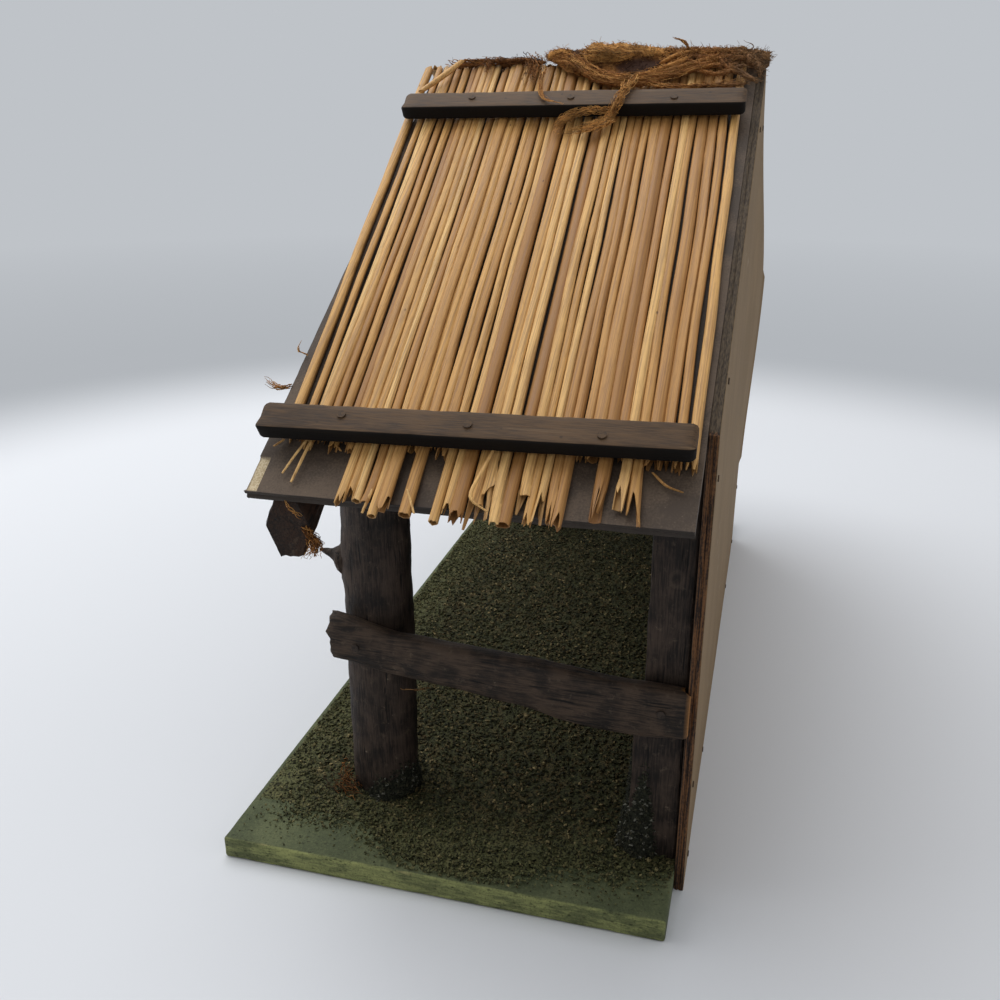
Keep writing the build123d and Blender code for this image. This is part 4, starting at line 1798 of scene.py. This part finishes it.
        def skin(along: float, a: float, b: float) -> Vector:
            """A point of the log.

            Args:
                along: The place along it.
                a: The place across its section.
                b: The place up its section.

            Returns:
                The point.
            """
            share = along / length
            up = b / self.rail_height + 0.5
            ragged = 0.9 * (1 - min(1.0, min(along, length - along) / 1.2)) ** 2
            rough = 0.35 * bumps(Vector((a, along * 0.3, b)), 3.0, seed)
            rough += 0.35 * bumps(Vector((a, along, b)), 11.0, seed)
            rounding = rough - 0.9 * (2 * up - 1) ** 2 if a > 0 else 0.0
            fringe = 2.0 * bumps(Vector((a * 2, 0, b * 2)), 2.0, seed) if share < 0.01 else 0.0
            off = max(0.12, self.rail_thickness / 2 + a + rounding - ragged)
            flat = corner + ahead * (first + along + fringe) + outward * off
            flat.y += 2.4 * smooth(lath_high.x + 4.2, lath_high.x + 5.4, flat.x) * smooth(0.97, 0.995, share)
            z = blend(profile(self.rail_bottom, share), profile(self.rail_top, share), up)
            return self.mirrored(flat.x, flat.y, z + (rough - ragged) * (1 if up > 0.5 else -1) * 0.7)

        places = spaced(length, 2.2, 1.2)
        bare = [0.8 * smooth(0.9945, 0.999, along / length) for along in places]
        Draft().loft([[skin(along, a, b) for a, b in outline] for along in places], 0.5, bare).piece(
            self.side.node("split_rail"), self.rail_finish, self.side.node("rail"), crease=45.0)

    def rafter(self) -> None:
        """Builds the rough faceted log under the roof's front edge, cut plumb at both ends."""
        low, high = self.sizes("front_rafter")
        slope = Slope(self.side)
        under = -slope.thickness
        width = high.y - low.y
        height = (slope.ridge + under / PITCH_COS - high.x * PITCH_TAN - low.z) * PITCH_COS
        middle = (low.y + high.y) / 2 + 1.2
        seed = 41.0 + self.side.value
        outline = [[blend(p, q, k / 5) for p, q in zip(start, end)]
                   for start, end in zip(self.rafter_facets, self.rafter_facets[1:] + self.rafter_facets[:1])
                   for k in range(5)]

        def skin(along: float, a: float, b: float) -> Vector:
            """A point of the log.

            Args:
                along: The place along it.
                a: The place across its section.
                b: The place up its section.

            Returns:
                The point.
            """
            ragged = 0.06 * (1 - min(1.0, (high.x - along) / 1.2)) ** 2
            rough = 0.05 * bumps(Vector((along * 0.5, a * 30, b * 30)), 4.0, seed)
            rough += 0.03 * bumps(Vector((along, a * 30, b * 30)), 1.8, seed)
            shrink = 1.0 + rough - ragged
            h = under + min(0.0, (-0.5 + (b + 0.5) * shrink) * height * 1.1)
            notch = 0.6 * bumps(Vector((0.0, a * 20, b * 20)), 3.0, seed) if along == high.x else 0.0
            x = min(along + notch, high.x)
            return slope.point((x - h * PITCH_SIN) / PITCH_COS, middle + a * width * shrink * 1.06, h)

        finish = DarkLog(self.side.node("dark_rafter"), (0.1, 1.0, 1.0), -self.side.value * ROOF_PITCH,
                         srgb(24, 16, 11), srgb(58, 39, 27))
        Draft().loft([[skin(along, a, b) for a, b in outline] for along in spaced(high.x, 3.0, 1.2)]).piece(
            self.side.node("rough_rafter"), finish, self.side.node("front_rafter"), crease=40.0)


@dataclass(frozen=True)
class Fold:
    """A roll of fibre: points across, along and above the straw, its thickness, tone and darkness."""

    points: Route
    radius: float
    tint: float
    shade: float = 0.3


@dataclass(frozen=True)
class Wisp:
    """A bundle of loose threads on a route: s, y and h on the right slope, or places in the row frame."""

    route: Route
    threads: int
    spread: float
    tint: float = 0.6
    on_roof: bool = True
    neat: bool = False


@dataclass
class RidgeFibre:
    """The tangle of dried fibre along the ridge, with wisps that hang over the upper batten."""

    finish: Finish = DriedFibre()
    fibre_length: float = 3.6
    fibre_radius: float = 0.13
    fibre_curl: tuple[float, float] = (2.0, 1.7)
    fibre_lean: float = 0.15
    coat_density: float = 1.1
    felt_density: float = 2.2
    coat_seed: int = 5
    mat_grid: tuple[int, int] = (64, 32)
    thread_radius: float = 0.16
    thread_curl: float = 1.9
    wisp_bend: float = 2.4
    stray_bend: float = 0.8
    thread_seed: int = 77
    first_y: float = -5.0
    last_y: float = 79.0
    right_reach: Knots = ((-5, 2), (0, 6), (6, 10), (14, 14), (26, 17), (34, 14), (44, 7), (60, 4.5),
                          (79, 3.5))
    left_reach: Knots = ((-5, 2), (4, 9), (14, 15), (30, 14), (46, 18), (60, 16), (70, 12), (79, 6))
    cavity: tuple[float, float] = (9.6, 32.0)
    cavity_reach: tuple[float, float] = (5.0, 11.0)
    folds: tuple[Fold, ...] = (
        Fold(((1, -6, -0.4), (2, -3, 0.4), (1.5, 1, 0.6), (3, 4, 0.2)), 1.7, 0.75, 0.1),
        Fold(((0.5, 9.5, 0.6), (0.5, 14, 0.9), (0.8, 20, 0.7), (1.0, 27, 0.4), (1.5, 34, 0.0),
              (2, 43, -0.4)), 3.2, 0.8, 0.0),
        Fold(((3.4, 8.6, 0.8), (6, 13, 1.1), (6.6, 18.5, 1.0), (4.8, 24, 0.8), (2.6, 30, 0.4)),
             2.4, 0.8, 0.0),
        Fold(((5, -3, 0.2), (8, 4, 0.4), (13, 11, 0.4), (17.5, 22, 0.6), (17, 34, 0.5), (12, 45, 0.4),
              (7, 55, 0.3), (5, 64, 0.2)), 1.1, 0.6),
        Fold(((7, 1, 0.0), (11, 8, 0.2), (16.5, 16, 0.2), (20, 26, 0.4), (19, 36, 0.2), (14.5, 46, 0.2),
              (10, 56, 0.1), (8, 68, 0.0)), 0.9, 0.5),
        Fold(((11, 12, -0.2), (16.5, 20, 0.6), (17, 32, 0.9), (12, 42, 1.2), (5, 52, 1.0)), 1.0, 0.65, 0.1),
        Fold(((1, 41, 0.4), (1, 50, 0.5), (0.5, 60, 0.3), (1.5, 68, -0.2), (1, 78, -0.8)), 1.7, 0.5),
        Fold(((4, 46, 0.2), (4.5, 56, 0.2), (4, 66, 0.0), (5, 76, -0.4)), 1.1, 0.45),
        Fold(((2, 44, 0.4), (6, 48, 1.0), (9, 53, 0.6), (8, 59, 0.4)), 0.8, 0.5),
        Fold(((3, 60, 0.4), (8, 62, 0.8), (12, 66, 0.4), (9, 71, 0.2)), 0.8, 0.4),
        Fold(((9, 39, 0.8), (5, 46, 1.4), (2, 53, 1.4)), 0.8, 0.65, 0.1),
        Fold(((19.5, 38, -0.4), (20.5, 48, -0.3), (20, 60, -0.4), (18.5, 72, -0.5)), 0.7, 0.45),
        Fold(((4, 70, -0.2), (7, 74, -0.4), (10, 77, -0.6)), 1.8, 0.4),
        Fold(((6, 62, 0.4), (11, 66, 0.6), (15, 71, 0.4), (18.5, 76, 0.0)), 0.8, 0.4),
        Fold(((12, 54, 0.2), (15, 61, 0.5), (13, 67, 0.4), (17, 73, 0.1)), 0.7, 0.5),
        Fold(((5, 72, 0.2), (10, 75.6, 0.2), (15.5, 76.8, -0.3)), 1.3, 0.35),
        Fold(((-3, -5, 0.3), (-5, 8, 0.8), (-6, 24, 1.0), (-6, 40, 0.6), (-7, 56, 0.5), (-5, 74, 0.0)),
             2.0, 0.6),
        Fold(((-10, 2, 0.0), (-13, 16, 0.5), (-12, 34, 0.6), (-14, 50, 0.3), (-11, 70, 0.1)), 1.7, 0.5),
        Fold(((-16, 20, 0.0), (-18, 34, 0.2), (-17, 52, 0.1), (-18, 66, 0.0)), 1.2, 0.5),
        Fold(((0.5, -47, -3.6), (0, -38, -3.0), (0.6, -28, -3.1), (0.4, -18, -2.6), (0.8, -6, -1.8)),
             1.1, 0.3),
        Fold(((2, -30, -1.0), (4, -24, -0.4), (3, -16, -0.6), (5, -8, -0.3)), 0.8, 0.2),
    )
    wisps: tuple[Wisp, ...] = (
        Wisp(((9, -4, 5.5), (14, -3.4, 7.5), (23, -2.6, 10), (33, -0.6, 10.2), (37.4, 2.8, 10.2),
              (39.3, 9.4, 9.9)), 36, 0.7, 0.6, neat=True),
        Wisp(((16, 32, 7), (26.6, 31.2, 10.4), (33.7, 29.3, 10.4), (39.9, 28.5, 9.8), (41.5, 26, 6.5),
              (44, 20, 5.4)), 80, 1.5, 0.75),
        Wisp(((40, 28, 6.0), (38.8, 22, 7.0), (40.5, 14, 7.0), (45, 8, 5.6), (50, 7.6, 4.9)), 90, 1.8, 0.85),
        Wisp(((41, 27, 5.6), (45, 25, 6.0), (48, 19, 5.8), (49.5, 11, 5.2)), 90, 2.0, 0.85),
        Wisp(((3, 9, 9.0), (4, 16, 9.2), (4, 24, 8.6), (3, 32, 7.6)), 60, 2.0, 0.85),
        Wisp(((3, 2, 7.2), (8, 9, 6.8), (18, 22, 6.4), (16, 40, 6.2), (7, 58, 5.8)), 60, 2.2, 0.6),
        Wisp(((19, 34, 6), (22, 46, 5.6), (21, 60, 5.2), (17, 74, 5)), 40, 1.8, 0.5),
        Wisp(((1.5, 49.5, 258), (1.5, 48.6, 261.5), (1.5, 46.7, 263.8), (1.5, 42.8, 265.2)), 40, 0.6, 0.5,
             False, True),
        Wisp(((0, -13, 4.6), (6, -9, 4.8), (12, -8, 4.8), (18, -7, 4.4)), 60, 3.0, 0.25),
        Wisp(((0, -46, 3.6), (1, -38, 4.0), (0.5, -28, 4.0), (1, -18, 4.0), (0, -8, 4.4)), 60, 1.6, 0.3),
        Wisp(((0, -30, 4.8), (5, -28, 4.8), (12, -27, 4.6)), 24, 1.0, 0.25),
        Wisp(((1.5, 60, 259.5), (1.5, 64.8, 260.6), (1.5, 70.6, 260.4), (1.5, 72.8, 261.6),
              (1.5, 69.4, 263.4), (1.5, 63.8, 263.1)), 6, 0.12, 0.0, False, True),
        Wisp(((175, -51.5, 0.4), (175.6, -56, -0.6), (173.6, -62, 0.8)), 30, 0.9, 0.75, neat=True),
        Wisp(((162, -51.0, 0.6), (161.5, -54.0, 2.2), (158, -53.0, 4.0)), 8, 0.3, 0.75, neat=True),
        Wisp(((178, -36, 127), (180, -33, 125), (180, -31.4, 122.5), (179.5, -32.4, 119.5),
              (179, -33.2, 117.5)), 90, 1.6, 0.35, False),
        Wisp(((213, -42, -3.4), (217.5, -39, -3), (218, -36.5, -6), (216.5, -35.4, -10)), 8, 0.5, 0.7,
             neat=True),
        Wisp(((139, -43, 9.0), (140, -45.5, 11), (138.5, -46.5, 14), (139, -45, 18)), 20, 2.6, 0.15, False),
        Wisp(((145, -38, 9.2), (142, -46, 9.4), (136, -51, 9.2)), 40, 4.6, 0.08, False),
        Wisp(((149, -25, 62.5), (151, -19, 60), (151, -12, 60.5), (150.5, -6, 63)), 3, 0.8, 1.3,
             False, True),
    )

    def build(self) -> None:
        """Builds the rolls, their coat of fibres and the wisps."""
        rolls = Draft()
        for number, fold in enumerate(self.folds):
            self.roll(rolls, fold, 51.0 + number)
        mat = self.mat()
        rolls.piece("ridge_fibre_rolls", self.finish, "ridge_moss", crease=70.0)
        mat.piece("ridge_fibre_mat", self.finish, "ridge_moss", crease=70.0)
        coat = FibreTree("fibre coat", self.finish)
        lengths = [size * MM for size in (self.fibre_length, self.fibre_radius, *self.fibre_curl)]
        for name, host, density in (("ridge_fibre_coat", rolls, self.coat_density),
                                    ("ridge_fibre_felt", mat, self.felt_density)):
            coat.grow(name, host, density / MM ** 2, *lengths, self.fibre_lean, self.coat_seed)
        threads = StrandTree("threads", self.finish)
        for name, neat, reach in (("ridge_fibre_wisps", False, self.wisp_bend),
                                  ("stray_threads", True, self.stray_bend)):
            threads.grow(name, self.loose_threads(neat), self.thread_radius * MM, reach * MM,
                         self.thread_curl * MM)

    @staticmethod
    def above_straw(x: float, y: float, lift: float) -> Vector:
        """A place above the straw near the ridge, which is rounded, from its distance across."""
        drop = (math.sqrt(x * x + 6.0) - 2.45) * PITCH_TAN
        return Vector((x, y, Slope(Side.RIGHT).ridge + (STRAW_LAYER + lift) / PITCH_COS - drop))

    def mat(self) -> Draft:
        """The felt under the rolls: a thin ragged mat, with painted shade where it is hollow and between its
        lumps.

        Returns:
            The mat, open to fibres on its upper side.
        """

        def place(u: float, v: float, w: float) -> Spot:
            """A point of the mat.

            Args:
                u: The place along the ridge, from 0 to 1.
                v: The place across, from 0 to 1.
                w: 0 for the underside and 1 for the top.

            Returns:
                The point, its tone, its painted shade and its cover of fibres.
            """
            y = blend(self.first_y, self.last_y, u)
            left, right = [profile(reach, y) * (1 + 0.35 * bumps(Vector((0, y, 0)), 5.0, seed))
                           for reach, seed in ((self.left_reach, 61.0), (self.right_reach, 62.0))]
            x = blend(-left, right, v)
            spot = Vector((x, y, 0))
            lumps = bumps(spot, 5.0, 63.0) + 0.6 * bumps(spot, 2.1, 64.0)
            rim = smooth(0.0, 0.3, min(v, 1 - v)) * smooth(0.0, 0.05, min(u, 1 - u))
            away = math.hypot(*[(at - c) / r for at, c, r in zip((x, y), self.cavity, self.cavity_reach)])
            hollow = smooth(1.3, 0.7, away)
            lift = max(0.1, 0.3 + rim * (1.1 + lumps) * (1 - hollow)) if w else -0.9
            # Painted shade: darker between the lumps and in the hollow.
            raw = max(0.2, smooth(0.3, -0.4, lumps), 1.18 * hollow)
            cover = w * (0.25 + 0.75 * smooth(-0.5, 0.2, lumps)) * (1 - 0.85 * hollow)
            return self.above_straw(x, y, lift), 0.5 + 0.3 * lumps, raw, cover

        return Draft().slab(*map(even, self.mat_grid), [0.0, 1.0], place)

    def roll(self, draft: Draft, fold: Fold, seed: float) -> None:
        """Adds one lumpy roll.

        Args:
            draft: What it is added to.
            fold: The roll.
            seed: Its seed.
        """
        points = [self.above_straw(*point) for point in fold.points]
        length = sum((b - a).length for a, b in zip(points, points[1:]))
        path = curve_through(points, max(8, round(length / 1.6)))

        def skin(share: float, centre: Vector, angle: float) -> Vector:
            """A point of the roll.

            Args:
                share: The place along it, from 0 to 1.
                centre: Its middle there.
                angle: The way round it.

            Returns:
                The point.
            """
            girth = fold.radius * math.sqrt(max(0.02, 1 - (2 * share - 1) ** 8))
            way = Vector((math.cos(angle), 0.0, math.sin(angle)))
            spot = centre + way * 3
            lumps = 0.26 * bumps(spot, 5.5, seed) + 0.16 * bumps(spot, 1.6, seed)
            return centre + way * girth * (1 + lumps)

        rings = [[skin(share, centre, angle) for angle in around(16)]
                 for share, centre in zip(even(len(path) - 1), path)]
        draft.loft(rings, fold.tint, [fold.shade] * len(rings))

    def loose_threads(self, neat: bool) -> Draft:
        """Draws the threads of the neat wisps or of the others.

        Args:
            neat: Which of them.

        Returns:
            The threads.
        """
        dice = random.Random(self.thread_seed)
        draft = Draft()
        for wisp in self.wisps:
            if wisp.neat is not neat:
                continue
            route = curve_through([Vector(point) for point in wisp.route], 24)
            steps = len(route) - 1
            place = Slope(Side.RIGHT).point if wisp.on_roof else lambda *at: Vector(at)
            for _ in range(wisp.threads):
                first = dice.uniform(0.0, 0.6)
                last = min(1.0, first + dice.uniform(0.3, 0.5))
                drift = [dice.gauss(0, 0.5), dice.gauss(0, 0.5), abs(dice.gauss(0, 0.35))]
                aside = Vector(drift) * wisp.spread
                part = route[round(steps * first):round(steps * last) + 1]
                fan = [dice.gauss(0, 0.25) * wisp.spread for _ in range(2)]
                path = []
                for number, spot in enumerate(part):
                    out = number / len(part)
                    s, y, h = spot + aside
                    path.append(place(s + fan[0] * out, y + fan[1] * out, h))
                draft.strand(path, min(1.0, max(0.0, dice.gauss(wisp.tint, 0.18))))
        return draft


@dataclass
class LooseStraw:
    """Splinters and a stray stalk that lie on the right slope."""

    splinters: tuple[Route, ...] = (
        ((196.5, -37.2, 3.4), (203, -39.6, 2.6), (209.5, -41.8, 1.6)),
        ((196.5, -36.2, 3.4), (204, -37.2, 2.4), (212.0, -38.3, 1.2)),
        ((195.0, 18.4, 4.3), (205, 17.0, 5.2), (214.2, 15.9, 5.4), (217.9, 21.2, 4.6)),
        ((197.0, -46.0, 1.2), (199.6, -48.4, 1.0)),
        ((197.0, -30.0, 1.4), (199.2, -27.4, 1.0)),
        ((197.4, 62.0, 1.0), (201.6, 66.0, 1.4), (203.0, 70.4, 1.0)),
        ((212.0, -3.0, 3.0), (219.0, 0.6, 2.0)),
        ((213.0, -13.0, 2.8), (220.0, -14.2, 1.2)),
    )
    stray: Route = ((23.0, -51.0, 5.2), (13.0, -44.6, 5.6), (4.0, -39.0, 6.4))

    def build(self) -> None:
        """Builds the splinters as thin stalks, then the stray one."""
        draft = Draft()
        for number, route in enumerate(self.splinters):
            self.sliver(draft, route, 0.42 + 0.08 * (number % 3), 0.95 - 0.12 * (number % 6))
        self.sliver(draft, self.stray, 1.4, 0.62)
        draft.piece("loose_straw", Straw(Side.RIGHT.node("straw"), Side.RIGHT), crease=50.0)

    @staticmethod
    def sliver(draft: Draft, route: Route, radius: float, tint: float) -> None:
        """Adds one flat sliver along a route.

        Args:
            draft: What it is added to.
            route: Its points as s, y and h.
            radius: Half its width.
            tint: Its tone.
        """
        path = curve_through([Vector(point) for point in route], 4 * len(route))
        place = Slope(Side.RIGHT).point
        rings = []
        for share, (s, y, h) in zip(even(len(path) - 1), path):
            size = radius * (0.75 + 0.25 * math.sin(math.pi * share))
            rings.append([place(s, y + size * math.cos(angle), h + 0.75 * size * math.sin(angle))
                          for angle in around(8)])
        draft.loft(rings, tint)


@dataclass
class CarriedNodes:
    """The CAD pieces that keep their own shape: nails, pins, cleats and the ridge pole."""

    nails: Finish = NailSteel()
    dark_nails: Finish = NailSteel("dark_nail_steel", srgb(58, 48, 41), srgb(40, 32, 26))
    pole: Finish = StainedWood("pole_wood", (1.0, 0.06, 1.0))

    def build(self) -> None:
        """Gives each of them its finish."""
        finishes = {"batten_nails": self.nails, "wall_pins": self.nails, "rail_nails": self.dark_nails,
                    "base_nails": self.dark_nails, "roof_pins": self.dark_nails, "ridge_pole": self.pole}
        for side in Side:
            finishes[side.node("wall_cleat")] = StainedWood(side.node("cleat_wood"), (0.06, 1.0, 1.0),
                                                            -side.value * ROOF_PITCH)
        for name, finish in finishes.items():
            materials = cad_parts[name].data.materials
            materials.clear()
            materials.append(finish.material())
            log.info("%s: carried over with %s", name, finish.name)


@dataclass
class Studio:
    """The camera at the photograph's place, soft light and a pale floor."""

    eye: tuple[float, float, float] = (425.2, 88.9, 238.4)
    forward: tuple[float, float, float] = (-0.9027, -0.2418, -0.3560)
    upward: tuple[float, float, float] = (-0.3435, -0.0933, 0.9345)
    lens: float = 36.58
    floor_reach: float = 3.0
    floor: Colour = srgb(219, 222, 227)
    painted_bend_shade: Colour = srgb(178, 182, 187)
    distance: Colour = srgb(191, 195, 200)
    sky: Colour = (1.0, 1.0, 1.0, 1.0)
    sky_strength: float = 0.42

    def build(self) -> None:
        """Sets up the camera, the lamps, the floor and the world."""
        bpy.context.scene.view_settings.view_transform = "Standard"
        self.camera()
        self.lamp("key", (-0.25, -0.4, 1.2), (0.0, 0.0, 0.1), 1.2, 12.8)
        self.lamp("side", (-0.1, 1.1, 0.6), (0.0, 0.05, 0.1), 0.9, 2.1)
        self.lamp("front", (0.25, -1.0, 0.5), (0.1, -0.05, 0.1), 0.7, 2.4)
        self.sweep()
        self.world()

    def camera(self) -> None:
        """Makes the camera."""
        data = bpy.data.cameras.new("camera")
        data.sensor_width = 36.0
        data.lens = self.lens
        data.clip_start = 0.01
        camera = placed("camera", data)
        back = -Vector(self.forward).normalized()
        across = Vector(self.upward).cross(back).normalized()
        turn = Matrix((across, back.cross(across), back)).transposed()
        camera.matrix_world = Matrix.Translation(Vector(self.eye) * MM) @ turn.to_4x4()
        bpy.context.scene.camera = camera

    @staticmethod
    def lamp(name: str, place: Sequence[float], aim: Sequence[float], size: float, power: float) -> None:
        """Adds a soft square lamp.

        Args:
            name: Its name.
            place: Where it hangs, in metres.
            aim: What it faces.
            size: The length of its side.
            power: Its power in watts.
        """
        data = bpy.data.lights.new(name, "AREA")
        data.size = size
        data.energy = power
        turn = (Vector(place) - Vector(aim)).to_track_quat("Z", "Y").to_matrix().to_4x4()
        placed(name, data).matrix_world = Matrix.Translation(Vector(place)) @ turn

    def sweep(self) -> None:
        """Makes the floor, whose far part glows, darker at first as a painted shade of a backdrop's bend,
        then fading into the distance.
        """
        mesh = bpy.data.meshes.new("floor")
        work = bmesh.new()
        bmesh.ops.create_circle(work, cap_ends=True, radius=self.floor_reach, segments=96)
        work.to_mesh(mesh)
        work.free()
        sheet = Shader("floor")
        reach = sheet.node("ShaderNodeVectorMath", {"operation": "LENGTH"}, {0: sheet.place}, 1)
        # Painted shade: the glowing far floor starts darker, where a backdrop would bend up, and lightens
        # into the distance.
        far = sheet.ramp(reach * (MM / 2.0), (0.0, self.painted_bend_shade), (0.38, self.painted_bend_shade), (0.9, self.distance))
        glow = sheet.node("ShaderNodeEmission", {}, {"Color": far})
        paper = sheet.node("ShaderNodeBsdfDiffuse", {}, {"Color": self.floor})
        both = sheet.node("ShaderNodeMixShader", {}, {0: sheet.mask(reach, 430.0, 680.0), 1: paper, 2: glow})
        sheet.node("ShaderNodeOutputMaterial", {}, {"Surface": both})
        mesh.materials.append(sheet.material)
        placed("floor", mesh)

    def world(self) -> None:
        """Makes the soft light all round, which the camera sees as the pale distance."""
        world = bpy.data.worlds.new("studio")
        world.use_nodes = True
        world.node_tree.nodes.clear()
        sheet = NodeSheet(world.node_tree)
        rays = sheet.node("ShaderNodeLightPath", output="Is Camera Ray")
        glossy = Wire(sheet, rays.socket.node.outputs["Is Glossy Ray"])
        clear = Wire(sheet, rays.socket.node.outputs["Is Transmission Ray"])
        light = sheet.node("ShaderNodeBackground", {}, {"Color": self.sky, "Strength": self.sky_strength})
        shown = sheet.node("ShaderNodeBackground", {}, {"Color": self.distance})
        both = sheet.node("ShaderNodeMixShader", {}, {0: rays + glossy + clear, 1: light, 2: shown})
        sheet.node("ShaderNodeOutputWorld", {}, {"Surface": both})
        bpy.context.scene.world = world


def main() -> None:
    """Builds the stable piece by piece, then the studio round it."""
    logging.basicConfig(level=logging.INFO, format="%(name)s %(message)s")
    BaseBoard().build()
    GroundCover().build()
    BackWall().build()
    for side in Side:
        Timbers(side).build()
        RoofSlope(side).build()
        StrawRow(side).build()
    LooseStraw().build()
    RidgeFibre().build()
    CarriedNodes().build()
    Studio().build()


if __name__ == "__main__":
    main()
